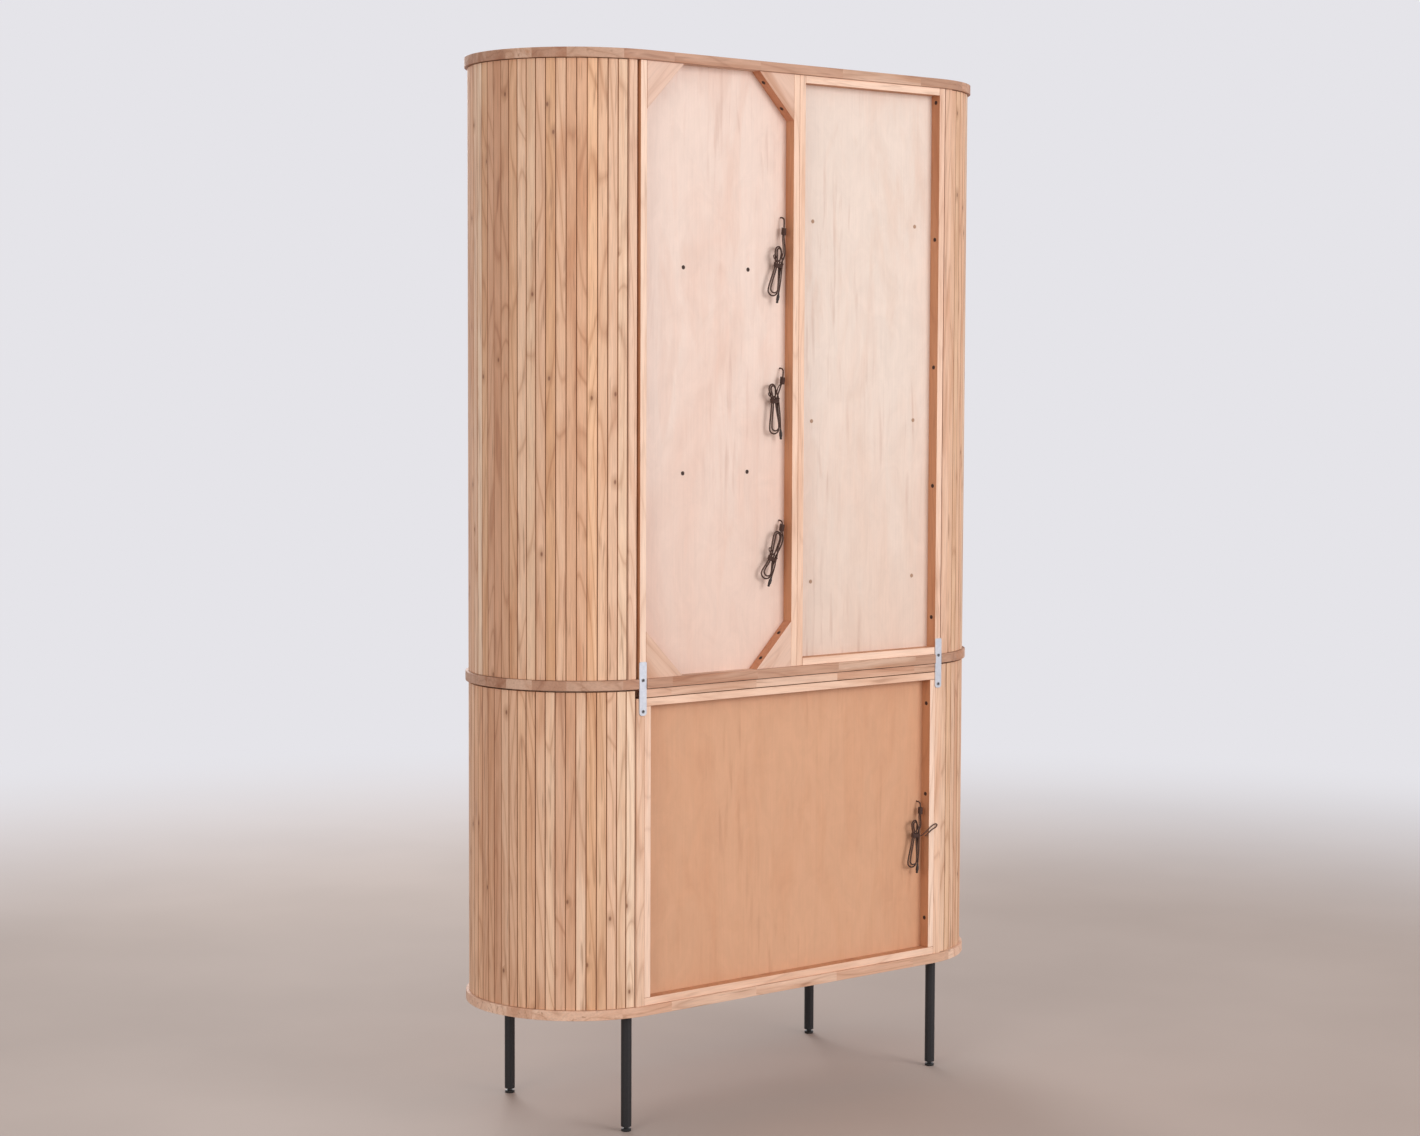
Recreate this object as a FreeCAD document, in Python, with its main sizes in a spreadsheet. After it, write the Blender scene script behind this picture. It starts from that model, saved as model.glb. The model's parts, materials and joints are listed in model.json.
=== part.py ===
import FreeCAD, Part
import math
import os
import re
import Sketcher
from FreeCAD import Placement, Rotation, Vector

# Pocket door cabinet on four steel legs: two stacked units between rounded boards, with slatted
# round ends that hide a pocket for each door.
# Frame: origin on the floor under the middle of the cabinet, +Z up, doors facing -Y, back at +Y.
# "left" and "right" are as seen from the front, so right is +X.  All sizes are in millimetres.

SIZES = {
    # boards with round ends
    "height": 2000, "end_flat": 734, "end_radius": 216, "board_thick": 18,
    "base_height": 220, "mid_height": 832, "cap_setback": 2,
    # round ends: curved plywood with glued slats
    "slat_setback": 6, "slat_thick": 6, "slat_pitch": 19, "slat_gap": 0.4, "slat_groove": 1.6,
    "shell_thick": 10, "shell_reach": 73,
    # inner boxes; a reach is how far a thing stands out past the straight part of the boards
    "wall": 15, "upper_reach": 22, "lower_reach": 10, "rear_setback": 4, "recess": 23,
    "panel": 5, "box_gap": 2, "pocket_slit": 5, "post_width": 18, "post_depth": 22,
    "upper_post_setback": 8, "gusset_leg": 88,
    # shelves, as heights of their middles above the floor
    "shelf": 18, "right_shelf_low": 1227, "right_shelf_high": 1610,
    "left_shelf_low": 1010, "left_shelf_mid": 1322, "left_shelf_high": 1707, "lower_shelf": 430,
    # doors and their swing posts
    "door_thick": 18, "door_slat": 6, "door_gap": 2, "door_meet": 1, "door_reach": 65,
    "door_bevel": 6, "post_radius": 6, "post_clear": 3, "pivot_back": 8,
    "bush_depth": 9, "bush_play": 0.05, "end_play": 0.4, "door_travel": 334,
    "rail_height": 20, "rail_depth": 8, "rail_wall": 1.5, "rail_inset": 90, "rail_stop": 10,
    "slot_height": 8, "glide": 0.3, "shoe_length": 40, "arm_half": 6,
    "pull_width": 24, "pull_length": 120, "pull_inset": 6, "pull_depth": 11, "pull_skin": 1.5,
    # legs and levelling feet
    "leg_reach": 30, "leg_inset": 32, "leg_radius": 10, "leg_spigot": 5, "leg_spigot_length": 7,
    "foot_pad": 9.5, "foot_height": 5, "foot_neck": 4, "foot_reach": 10,
    "stud_radius": 4, "stud_grip": 22, "stud_room": 13,
    # joining plates and screws
    "plate_width": 17, "plate_length": 100, "plate_thick": 2, "plate_play": 0.5, "plate_inset": 3,
    "plate_screw_head": 3.2, "plate_screw_rise": 16, "plate_screw_drop": 42,
    "screw_head": 3, "screw_rise": 1, "gusset_screw_in": 22, "gusset_screw_out": 68,
    "right_screw_in": 95, "right_screw_out": 105, "left_screw_in": 40, "left_screw_out": 45,
    "wall_screw_back": 11,
    # lights and their leads
    "light_width": 14, "light_depth": 8, "light_length": 160,
    "lead_exit": 13, "lead_high": 1711, "lead_middle": 1424, "lead_low": 1132,
    "lead_lower_exit": 551, "wire": 3, "wire_step": 3.7, "wire_layer": 4.2, "wire_stand": 11.5,
    "lead_bend": 9, "lead_hole": 4, "hank_half": 34, "hank_end": 9, "waist_draw": 3, "waist_reach": 80,
    "plug_width": 6, "plug_thick": 5, "plug_length": 15,
    "tie_height": 4, "tie_skin": 0.8, "tie_play": 0.3,
    # how far a cutting shape runs past the face that it cuts
    "cut_over": 1,
}

# Sizes worked out from the driving ones; later lines may use earlier ones.
DERIVED = {
    "end_x": "end_flat / 2",
    "shell_front": "end_x + shell_reach",
    "upper_half": "end_x + upper_reach",
    "lower_half": "end_x + lower_reach",
    "door_edge": "end_x + door_reach",
    "leg_x": "end_x + leg_reach",
    "leg_y": "end_radius - leg_inset",
    "top_under": "height - board_thick",
    "base_top": "base_height + board_thick",
    "mid_top": "mid_height + board_thick",
    "cap_under": "mid_height - board_thick",
    "slat_radius": "end_radius - slat_setback",
    "shell_radius": "slat_radius - slat_thick",
    "shell_inner": "shell_radius - shell_thick",
    "rear": "end_radius - rear_setback",
    "panel_rear": "rear - recess",
    "panel_front": "panel_rear - panel",
    "door_front": "-end_radius",
    "door_back": "door_front + door_thick",
    "box_front": "door_back + box_gap",
    "upper_post_in": "upper_half + pocket_slit",
    "upper_post_out": "upper_post_in + post_width",
    "lower_post_out": "lower_half + post_width",
    "upper_post_rear": "end_radius - upper_post_setback",
    "pivot_x": "upper_half + post_clear + post_radius",
    "pivot_y": "door_back + pivot_back",
    "bush_radius": "post_radius + bush_play",
    "front_angle": "acos((shell_front + slat_gap - end_x) / shell_radius)",
    "upper_back_angle": "acos((upper_post_out + slat_gap - end_x) / shell_radius)",
    "lower_back_angle": "acos((lower_post_out + slat_gap - end_x) / shell_radius)",
    "upper_count": "round((front_angle + upper_back_angle) * pi / 180 * slat_radius / slat_pitch)",
    "lower_count": "round((front_angle + lower_back_angle) * pi / 180 * slat_radius / slat_pitch)",
    "upper_step": "(front_angle + upper_back_angle) / upper_count",
    "lower_step": "(front_angle + lower_back_angle) / lower_count",
    "door_width": "door_edge - door_meet",
    "door_count": "round(door_width / slat_pitch)",
    "door_pitch": "door_width / door_count",
    "upper_door_low": "mid_top + door_gap",
    "upper_door_high": "top_under - door_gap",
    "lower_door_low": "base_top + door_gap",
    "lower_door_high": "cap_under - door_gap",
    "rail_start": "pivot_x - shoe_length / 2 - door_travel - rail_stop",
    "leg_low": "foot_height + foot_neck",
    "stud_length": "foot_reach + stud_grip",
}

doc = FreeCAD.newDocument("PocketDoorCabinet")
NODES = []


def prefixed(expression):
    """Write each size name in an expression as a reference to the sheet or to the derived values."""
    def swap(match):
        word = match.group(0)
        if word in SIZES:
            return "Sizes." + word
        if word in DERIVED:
            return "Derived." + word
        return word
    return re.sub(r"[a-z][a-z_]*", swap, str(expression))


def bind(item, prop, expression):
    item.setExpression(prop, prefixed(expression))


def make_sheet():
    sheet = doc.addObject("Spreadsheet::Sheet", "Sizes")
    for row, (name, value) in enumerate(SIZES.items(), start=1):
        sheet.set(f"A{row}", name)
        sheet.set(f"B{row}", str(value))
        sheet.setAlias(f"B{row}", name)
    doc.recompute()
    derived = doc.addObject("App::VarSet", "Derived")
    for name, expression in DERIVED.items():
        derived.addProperty("App::PropertyFloat", name, "Derived")
        text = re.sub(r"acos\((.*)\)$", r"acos(\1) / 1 deg", expression)
        derived.setExpression(name, prefixed(text))
        doc.recompute()
    return sheet, derived


SHEET, VALUES = make_sheet()


def size(expression):
    """The present value of a driving or derived size, or of a sum of them."""
    return float(VALUES.evalExpression(prefixed(expression)))


def keep(item, label):
    """Give a sub-part its label and put it on the list that is written out."""
    item.Label = label
    NODES.append(item)
    return item


# ---------------------------------------------------------------- general shapes

def place(item, x="0", y="0", z="0"):
    for axis, expression in zip("xyz", (x, y, z)):
        bind(item, f"Placement.Base.{axis}", expression)


def block(name, xs, ys, zs):
    """A board or bar between two planes on each axis."""
    item = doc.addObject("Part::Box", name)
    for prop, (low, high) in zip(("Length", "Width", "Height"), (xs, ys, zs)):
        bind(item, prop, f"({high}) - ({low})")
    place(item, xs[0], ys[0], zs[0])
    return item


def sided(side, near, far):
    """The span from near to far of the middle, on the right (+1) or the left (-1)."""
    return (near, far) if side > 0 else (f"-({far})", f"-({near})")


def rod(name, radius, length):
    item = doc.addObject("Part::Cylinder", name)
    bind(item, "Radius", radius)
    bind(item, "Height", length)
    return item


def set_of(label, items):
    """Several separate solids that make one sub-part."""
    item = doc.addObject("Part::Compound", label)
    item.Links = items
    return keep(item, label)


def origin_feature(body, role):
    return [f for f in body.Origin.OriginFeatures if f.Role == role][0]


def sketch_on(body, name, plane="XY_Plane", lift=None):
    sketch = body.newObject("Sketcher::SketchObject", name)
    sketch.AttachmentSupport = [(origin_feature(body, plane), "")]
    sketch.MapMode = "FlatFace"
    if lift is not None:
        bind(sketch, "AttachmentOffset.Base.z", lift)
    return sketch


def fix(sketch, name, constraint, expression):
    index = sketch.addConstraint(constraint)
    sketch.renameConstraint(index, name)
    bind(sketch, f"Constraints.{name}", expression)


def outline(sketch, points, first=0):
    """A closed outline of straight lines, each corner tied to the sheet."""
    count = len(points)
    spots = [Vector(math.cos(math.tau * k / count), math.sin(math.tau * k / count), 0) for k in range(count)]
    for k in range(count):
        sketch.addGeometry(Part.LineSegment(spots[k], spots[(k + 1) % count]), False)
    for k in range(count):
        sketch.addConstraint(Sketcher.Constraint("Coincident", first + k, 2, first + (k + 1) % count, 1))
    for k, (x, y) in enumerate(points):
        line = first + k
        fix(sketch, f"across{line}", Sketcher.Constraint("DistanceX", line, 1, spots[k].x), x)
        fix(sketch, f"along{line}", Sketcher.Constraint("DistanceY", line, 1, spots[k].y), y)


def stadium(sketch, radius):
    """Two half circles joined by straight sides, centred on the origin."""
    middle = size("end_x")
    reach = size(radius)
    right = Part.Circle(Vector(middle, 0, 0), Vector(0, 0, 1), reach)
    left = Part.Circle(Vector(-middle, 0, 0), Vector(0, 0, 1), reach)
    sketch.addGeometry(Part.ArcOfCircle(right, -math.pi / 2, math.pi / 2), False)
    sketch.addGeometry(Part.LineSegment(Vector(middle, reach, 0), Vector(-middle, reach, 0)), False)
    sketch.addGeometry(Part.ArcOfCircle(left, math.pi / 2, 3 * math.pi / 2), False)
    sketch.addGeometry(Part.LineSegment(Vector(-middle, -reach, 0), Vector(middle, -reach, 0)), False)
    for k in range(4):
        sketch.addConstraint(Sketcher.Constraint("Tangent", k, 2, (k + 1) % 4, 1))
    sketch.addConstraint(Sketcher.Constraint("Equal", 0, 2))
    sketch.addConstraint(Sketcher.Constraint("PointOnObject", 0, 3, -1))
    sketch.addConstraint(Sketcher.Constraint("PointOnObject", 2, 3, -1))
    fix(sketch, "middle", Sketcher.Constraint("DistanceX", 0, 3, middle), "end_x")
    fix(sketch, "other_middle", Sketcher.Constraint("DistanceX", 2, 3, -middle), "-end_x")
    fix(sketch, "radius", Sketcher.Constraint("Radius", 0, reach), radius)


def pad(body, sketch, length):
    feature = body.newObject("PartDesign::Pad", sketch.Name + "_pad")
    feature.Profile = sketch
    bind(feature, "Length", length)
    return feature


def pocket(body, sketch, depth, upward=False):
    """Cut a sketch into the body: down from a top face, or upward from an under face."""
    feature = body.newObject("PartDesign::Pocket", sketch.Name + "_pocket")
    feature.Profile = sketch
    bind(feature, "Length", depth)
    feature.Reversed = upward
    return feature


def circles(sketch, radius, spots):
    for k, (x, y) in enumerate(spots):
        start = Vector(k + 1, k + 1, 0)
        sketch.addGeometry(Part.Circle(start, Vector(0, 0, 1), 1), False)
        fix(sketch, f"radius{k}", Sketcher.Constraint("Radius", k, 1), radius)
        fix(sketch, f"across{k}", Sketcher.Constraint("DistanceX", k, 3, start.x), x)
        fix(sketch, f"along{k}", Sketcher.Constraint("DistanceY", k, 3, start.y), y)


FLAT_COUNT = 8
TO_REAR = Rotation(Vector(1, 0, 0), -90)
TO_RIGHT = Rotation(Vector(0, 1, 0), 90)
TO_UPPER_RIGHT = Rotation(Vector(0, 1, 0), 45)
TO_LOWER_RIGHT = Rotation(Vector(0, 1, 0), 135)
PIVOTS = [("pivot_x", "pivot_y"), ("-pivot_x", "pivot_y")]
LEG_SPOTS = [("-leg_x", "-leg_y"), ("leg_x", "-leg_y"), ("-leg_x", "leg_y"), ("leg_x", "leg_y")]


# ---------------------------------------------------------------- boards

def board(label, low, bushes_above=False, bushes_below=False):
    """A full round-ended board, with blind bushes for the swing posts that stand on or hang from it."""
    body = doc.addObject("PartDesign::Body", label)
    sketch = sketch_on(body, label + "_outline")
    stadium(sketch, "end_radius")
    pad(body, sketch, "board_thick")
    if bushes_above:
        upper = sketch_on(body, label + "_upper_bushes", lift="board_thick")
        circles(upper, "bush_radius", PIVOTS)
        pocket(body, upper, "bush_depth")
    if bushes_below:
        under = sketch_on(body, label + "_under_bushes")
        circles(under, "bush_radius", PIVOTS)
        pocket(body, under, "bush_depth", upward=True)
    place(body, z=low)
    return keep(body, label)


def make_boards():
    board("top_board", "top_under", bushes_below=True)
    middle = board("mid_board", "mid_height", bushes_above=True)
    # The joining plates lie in shallow notches in the rear edge of the middle board.
    for side in (1, -1):
        notch = sketch_on(middle, f"plate_notch_{'right' if side > 0 else 'left'}", lift="board_thick")
        spots = plate_span(side)
        near = f"{spots[0]} - plate_play"
        far = f"{spots[1]} + plate_play"
        out = "end_radius + cut_over"
        outline(notch, [(near, "rear"), (far, "rear"), (far, out), (near, out)])
        pocket(middle, notch, "board_thick")
    base = board("base_board", "base_height", bushes_above=True)
    sockets = sketch_on(base, "leg_sockets")
    circles(sockets, "leg_spigot", LEG_SPOTS)
    pocket(base, sockets, "leg_spigot_length", upward=True)

    # The lower unit's own top lies inside the round ends, with a rail to the front between them.
    cap = doc.addObject("PartDesign::Body", "lower_top_board")
    sketch = sketch_on(cap, "cap_outline")
    stadium(sketch, "shell_inner")
    pad(cap, sketch, "board_thick")
    rails = sketch_on(cap, "cap_rails")
    outline(rails, [
        ("-lower_post_out", "0"), ("lower_post_out", "0"), ("lower_half", "rear"), ("-lower_half", "rear")])
    pad(cap, rails, "board_thick")
    front = sketch_on(cap, "cap_front")
    half = "shell_front - box_gap"
    edge = "door_front + cap_setback"
    outline(front, [(f"-({half})", edge), (half, edge), (half, "0"), (f"-({half})", "0")])
    pad(cap, front, "board_thick")
    under = sketch_on(cap, "cap_bushes")
    circles(under, "bush_radius", PIVOTS)
    pocket(cap, under, "bush_depth", upward=True)
    place(cap, z="cap_under")
    keep(cap, "lower_top_board")


# ---------------------------------------------------------------- round ends

def end_shell(label, side, back, low, high):
    """A curved plywood sheet from the pocket's mouth round to the rear post."""
    body = doc.addObject("PartDesign::Body", label)
    sketch = sketch_on(body, label + "_section")
    middle = size("end_x") * side
    zero = 0 if side > 0 else math.pi
    for radius in (size("shell_radius"), size("shell_inner")):
        circle = Part.Circle(Vector(middle, 0, 0), Vector(0, 0, 1), radius)
        front_turn = math.acos((size("shell_front") - size("end_x")) / radius)
        back_turn = math.acos((size(back) - size("end_x")) / radius)
        turns = (zero - front_turn, zero + back_turn) if side > 0 else (zero - back_turn, zero + front_turn)
        sketch.addGeometry(Part.ArcOfCircle(circle, *turns), False)
    outer, inner = sketch.Geometry
    sketch.addGeometry(Part.LineSegment(outer.StartPoint, inner.StartPoint), False)
    sketch.addGeometry(Part.LineSegment(outer.EndPoint, inner.EndPoint), False)
    for end, line in ((1, 2), (2, 3)):
        sketch.addConstraint(Sketcher.Constraint("Coincident", 0, end, line, 1))
        sketch.addConstraint(Sketcher.Constraint("Coincident", 1, end, line, 2))
    sketch.addConstraint(Sketcher.Constraint("Coincident", 0, 3, 1, 3))
    sketch.addConstraint(Sketcher.Constraint("PointOnObject", 0, 3, -1))
    fix(sketch, "middle", Sketcher.Constraint("DistanceX", 0, 3, middle), f"{side} * end_x")
    fix(sketch, "outer", Sketcher.Constraint("Radius", 0, size("shell_radius")), "shell_radius")
    fix(sketch, "inner", Sketcher.Constraint("Radius", 1, size("shell_inner")), "shell_inner")
    edges = ("shell_front", back) if side > 0 else (back, "shell_front")
    for end, edge in zip((1, 2), edges):
        for arc in (0, 1):
            constraint = Sketcher.Constraint("DistanceX", arc, end, size(edge) * side)
            fix(sketch, f"edge{arc}{end}", constraint, f"{side} * {edge}")
    pad(body, sketch, f"({high}) - ({low})")
    place(body, z=low)
    return keep(body, label)


def end_slats(label, side, unit, low, high):
    """Flat slats glued round the curved sheet, with a small bevel on each outer corner."""
    body = doc.addObject("PartDesign::Body", label)
    sketch = sketch_on(body, label + "_section")
    half = f"{unit}_step / 2"
    inner = f"shell_radius * tan({half} * 1 deg) - slat_gap / 2"
    shoulder = f"(slat_radius - slat_groove) * tan({half} * 1 deg) - slat_gap / 2"
    corners = [
        ("shell_radius", inner), ("slat_radius - slat_groove", shoulder),
        ("slat_radius", f"{shoulder} - slat_groove")]
    mirrored = [(x, f"-({y})") for x, y in reversed(corners)]
    outline(sketch, corners + mirrored)
    slat = pad(body, sketch, f"({high}) - ({low})")
    ring = body.newObject("PartDesign::PolarPattern", label + "_ring")
    ring.Originals = [slat]
    ring.Axis = (origin_feature(body, "Z_Axis"), [""])
    bind(ring, "Angle", f"{unit}_step * ({unit}_count - 1)")
    bind(ring, "Occurrences", f"{unit}_count")
    body.Tip = ring
    place(body, f"{side} * end_x", "0", low)
    turn = "-front_angle" if side > 0 else f"180 - {unit}_back_angle"
    bind(body, "Placement.Rotation.Angle", f"{turn} + {half}")
    return keep(body, label)


def make_ends():
    for side, name in ((-1, "left"), (1, "right")):
        end_shell(f"upper_{name}_end_shell", side, "upper_post_out", "mid_top", "top_under")
        end_shell(f"lower_{name}_end_shell", side, "lower_post_out", "base_top", "mid_height")
        end_slats(f"upper_{name}_end_slats", side, "upper", "mid_top", "top_under")
        end_slats(f"lower_{name}_end_slats", side, "lower", "base_top", "mid_height")
    posts = []
    for side in (-1, 1):
        span = sided(side, "upper_post_in", "upper_post_out")
        depth = ("upper_post_rear - post_depth", "upper_post_rear")
        posts.append(block("upper_post", span, depth, ("mid_top", "top_under")))
        span = sided(side, "lower_half", "lower_post_out")
        posts.append(block("lower_post", span, ("rear - post_depth", "rear"), ("base_top", "cap_under")))
    set_of("corner_posts", posts)


# ---------------------------------------------------------------- inner boxes, panels and shelves

def make_boxes():
    ys = ("box_front", "rear")
    upper = ("mid_top", "top_under")
    lower = ("base_top", "cap_under")
    set_of("right_box", [
        block("right_box_inner_wall", ("0", "wall"), ys, upper),
        block("right_box_outer_wall", ("upper_half - wall", "upper_half"), ys, upper)])
    inside = ("-(upper_half - wall)", "-wall")
    set_of("left_box", [
        block("left_box_inner_wall", ("-wall", "0"), ys, upper),
        block("left_box_outer_wall", ("-upper_half", "-(upper_half - wall)"), ys, upper),
        block("left_box_floor", inside, ys, ("mid_top", "mid_top + wall")),
        block("left_box_ceiling", inside, ys, ("top_under - wall", "top_under"))])
    lower_inside = ("-(lower_half - wall)", "lower_half - wall")
    set_of("lower_box", [
        block("lower_box_left_wall", ("-lower_half", "-(lower_half - wall)"), ys, lower),
        block("lower_box_right_wall", ("lower_half - wall", "lower_half"), ys, lower),
        block("lower_box_floor", lower_inside, ys, ("base_top", "base_top + wall")),
        block("lower_box_ceiling", lower_inside, ys, ("cap_under - wall", "cap_under"))])
    make_panels(inside, lower_inside)
    shelf_depth = ("box_front", "panel_front")

    def shelves(names, span):
        heights = {name: (f"{name} - shelf / 2", f"{name} + shelf / 2") for name in names}
        return [block(name, span, shelf_depth, heights[name]) for name in names]

    set_of("right_shelves", shelves(("right_shelf_low", "right_shelf_high"), ("wall", "upper_half - wall")))
    set_of("left_shelves", shelves(("left_shelf_low", "left_shelf_mid", "left_shelf_high"), inside))
    keep(shelves(("lower_shelf",), lower_inside)[0], "lower_shelf")


def make_panels(left_span, lower_span):
    """Thin plywood backs, let in from the rear edges, with a hole for each light's lead."""
    ys = ("panel_front", "panel_rear")
    leads = [("wall + lead_exit", z) for z in ("lead_high", "lead_middle", "lead_low")]
    panels = (
        ("right_back_panel", ("wall", "upper_half - wall"), ("mid_top", "top_under"), leads),
        ("left_back_panel", left_span, ("mid_top + wall", "top_under - wall"), []),
        ("lower_back_panel", lower_span, ("base_top + wall", "cap_under - wall"),
         [("-(lower_half - wall) + lead_exit", "lead_lower_exit")]))
    for label, xs, zs, holes in panels:
        sheet = block(label + "_sheet" if holes else label, xs, ys, zs)
        if not holes:
            keep(sheet, label)
            continue
        depth = "panel + 2 * cut_over"
        start = "panel_front - cut_over"
        drills = [disc(label + "_hole", "lead_hole / 2", depth, x, start, z, TO_REAR) for x, z in holes]
        tool = doc.addObject("Part::Compound", label + "_holes")
        tool.Links = drills
        cut = doc.addObject("Part::Cut", label)
        cut.Base = sheet
        cut.Tool = tool
        keep(cut, label)


def make_gussets():
    """A triangular block in each corner of the right back, flush with the rear edges."""
    corners = (
        ("wall", "mid_top", 1, 1), ("upper_half - wall", "mid_top", -1, 1),
        ("wall", "top_under", 1, -1), ("upper_half - wall", "top_under", -1, -1))
    items = []
    for k, (x, z, across, up) in enumerate(corners):
        body = doc.addObject("PartDesign::Body", f"gusset{k}")
        sketch = sketch_on(body, f"gusset{k}_face", plane="XZ_Plane")
        outline(sketch, [(x, z), (f"{x} + {across} * gusset_leg", z), (x, f"{z} + {up} * gusset_leg")])
        feature = pad(body, sketch, "recess")
        feature.Reversed = True
        place(body, y="panel_rear")
        items.append(body)
    set_of("corner_gussets", items)


# ---------------------------------------------------------------- doors

def door(side, name, low, high, rails):
    """A slatted door, its slotted guide rails, its flush pull and the swing post that carries it."""
    span = sided(side, "door_meet", "door_edge")
    zs = (low, high)
    mouth = sided(side, "door_meet + pull_inset", "door_meet + pull_inset + pull_width")
    pull_zs = (f"({low} + {high}) / 2 - pull_length / 2", f"({low} + {high}) / 2 + pull_length / 2")
    rail_pitch = f"({high} - {low} - 2 * rail_inset) / {rails - 1}"
    rail_zs = [f"{low} + rail_inset + {k} * {rail_pitch}" for k in range(rails)]
    rail_span = sided(side, "rail_start", "door_edge")
    groove_span = sided(side, "rail_start", "door_edge + cut_over")

    sheet = block(name + "_sheet", span, ("door_front + door_slat", "door_back"), zs)
    cuts = [block(name + "_pull_room", mouth, ("door_front - cut_over", "door_front + pull_depth"), pull_zs)]
    for middle in rail_zs:
        heights = (f"{middle} - rail_height / 2", f"{middle} + rail_height / 2")
        depth = ("door_back - rail_depth", "door_back + cut_over")
        cuts.append(block(name + "_groove", groove_span, depth, heights))
    tool = doc.addObject("Part::Compound", name + "_cuts")
    tool.Links = cuts
    panel = doc.addObject("Part::Cut", name + "_panel")
    panel.Base = sheet
    panel.Tool = tool
    keep(panel, name + "_panel")

    make_door_slats(side, name, zs, mouth, pull_zs)

    set_of(name + "_rails", [channel(name, rail_span, middle) for middle in rail_zs])

    lip = block(name + "_pull_body", mouth, ("door_front", "door_front + pull_depth"), pull_zs)
    cup_xs = (f"{mouth[0]} + pull_skin", f"{mouth[1]} - pull_skin")
    cup_zs = (f"{pull_zs[0]} + pull_skin", f"{pull_zs[1]} - pull_skin")
    cup_ys = ("door_front - cut_over", "door_front + pull_depth - pull_skin")
    cup = block(name + "_pull_cup", cup_xs, cup_ys, cup_zs)
    pull = doc.addObject("Part::Cut", name + "_pull")
    pull.Base = lip
    pull.Tool = cup
    keep(pull, name + "_pull")

    make_swing_post(side, name, low, high, rail_zs)


def make_door_slats(side, name, zs, mouth, pull_zs):
    """Slats on the door's face in the pitch of the round ends, bevelled at the hinge edge."""
    body = doc.addObject("PartDesign::Body", name + "_slat_row")
    sketch = sketch_on(body, name + "_slat")
    start = "door_meet" if side > 0 else "-door_edge"
    near = f"{start} + slat_gap / 2"
    far = f"{start} + door_pitch - slat_gap / 2"
    outline(sketch, [
        (near, "door_front + door_slat"), (far, "door_front + door_slat"),
        (far, "door_front + slat_groove"), (f"{far} - slat_groove", "door_front"),
        (f"{near} + slat_groove", "door_front"), (near, "door_front + slat_groove")])
    slat = pad(body, sketch, f"({zs[1]}) - ({zs[0]})")
    row = body.newObject("PartDesign::LinearPattern", name + "_row")
    row.Originals = [slat]
    row.Direction = (origin_feature(body, "X_Axis"), [""])
    bind(row, "Length", "door_width - door_pitch")
    bind(row, "Occurrences", "door_count")
    body.Tip = row
    place(body, z=zs[0])
    # The hinge edge swings past the round end's front edge, so its outer corner is bevelled off.
    bevel = doc.addObject("PartDesign::Body", name + "_bevel")
    corner = sketch_on(bevel, name + "_bevel_face")
    beyond = f"{side} * (door_edge + cut_over)"
    before = "door_front - cut_over"
    outline(corner, [
        (f"{side} * (door_edge - door_bevel - cut_over)", before), (beyond, before),
        (beyond, "door_front + door_bevel + cut_over")])
    pad(bevel, corner, f"({zs[1]}) - ({zs[0]}) + 2 * cut_over")
    place(bevel, z=f"{zs[0]} - cut_over")
    hole = block(name + "_slat_room", mouth, (before, "door_front + door_slat + cut_over"), pull_zs)
    tool = doc.addObject("Part::Compound", name + "_slat_cuts")
    tool.Links = [bevel, hole]
    cut = doc.addObject("Part::Cut", name + "_slats")
    cut.Base = body
    cut.Tool = tool
    keep(cut, name + "_slats")


def channel(name, span, middle):
    """One slotted aluminium rail, let into the door's inner face flush with it."""
    body = doc.addObject("PartDesign::Body", name + "_channel")
    sketch = sketch_on(body, name + "_channel_section", plane="YZ_Plane")
    half = "rail_height / 2"
    slot = "slot_height / 2"
    inside = "rail_height / 2 - rail_wall"
    # Each corner is how far it lies in front of the door's back, and how far from the rail's middle.
    corners = [
        ("rail_depth", half), ("0", half), ("0", slot), ("rail_wall", slot),
        ("rail_wall", inside), ("rail_depth - rail_wall", inside)]
    lower = [(f"-({depth})", f"-({rise})") for depth, rise in corners]
    upper = [(f"-({depth})", rise) for depth, rise in reversed(corners)]
    outline(sketch, lower + upper)
    pad(body, sketch, f"({span[1]}) - ({span[0]})")
    place(body, span[0], "door_back", middle)
    return body


def make_swing_post(side, name, low, high, rail_zs):
    """A turning post in bushes, with an arm and a T-shaped shoe into each of the door's rails."""
    middle = f"{side} * pivot_x"
    bottom = f"{low} - door_gap - bush_depth + end_play"
    top = f"{high} + door_gap + bush_depth - end_play"
    parts = [rod(name + "_post", "post_radius", f"({top}) - ({bottom})")]
    place(parts[0], middle, "pivot_y", bottom)
    neck = "slot_height / 2 - glide"
    head = "rail_height / 2 - rail_wall - glide"
    for z in rail_zs:
        parts.append(block(
            name + "_arm", (f"{middle} - arm_half", f"{middle} + arm_half"),
            ("door_back - rail_wall - glide", "pivot_y - post_radius / 2"),
            (f"{z} - ({neck})", f"{z} + {neck}")))
        parts.append(block(
            name + "_shoe", (f"{middle} - shoe_length / 2", f"{middle} + shoe_length / 2"),
            ("door_back - rail_depth + rail_wall + glide", "door_back - rail_wall - glide"),
            (f"{z} - ({head})", f"{z} + {head}")))
    post = doc.addObject("Part::MultiFuse", name + "_swing_post")
    post.Shapes = parts
    keep(post, name.replace("_door", "") + "_swing_post")


def make_doors():
    for side, hand in ((-1, "left"), (1, "right")):
        door(side, f"upper_{hand}_door", "upper_door_low", "upper_door_high", rails=3)
        door(side, f"lower_{hand}_door", "lower_door_low", "lower_door_high", rails=2)


# ---------------------------------------------------------------- legs and feet

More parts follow.
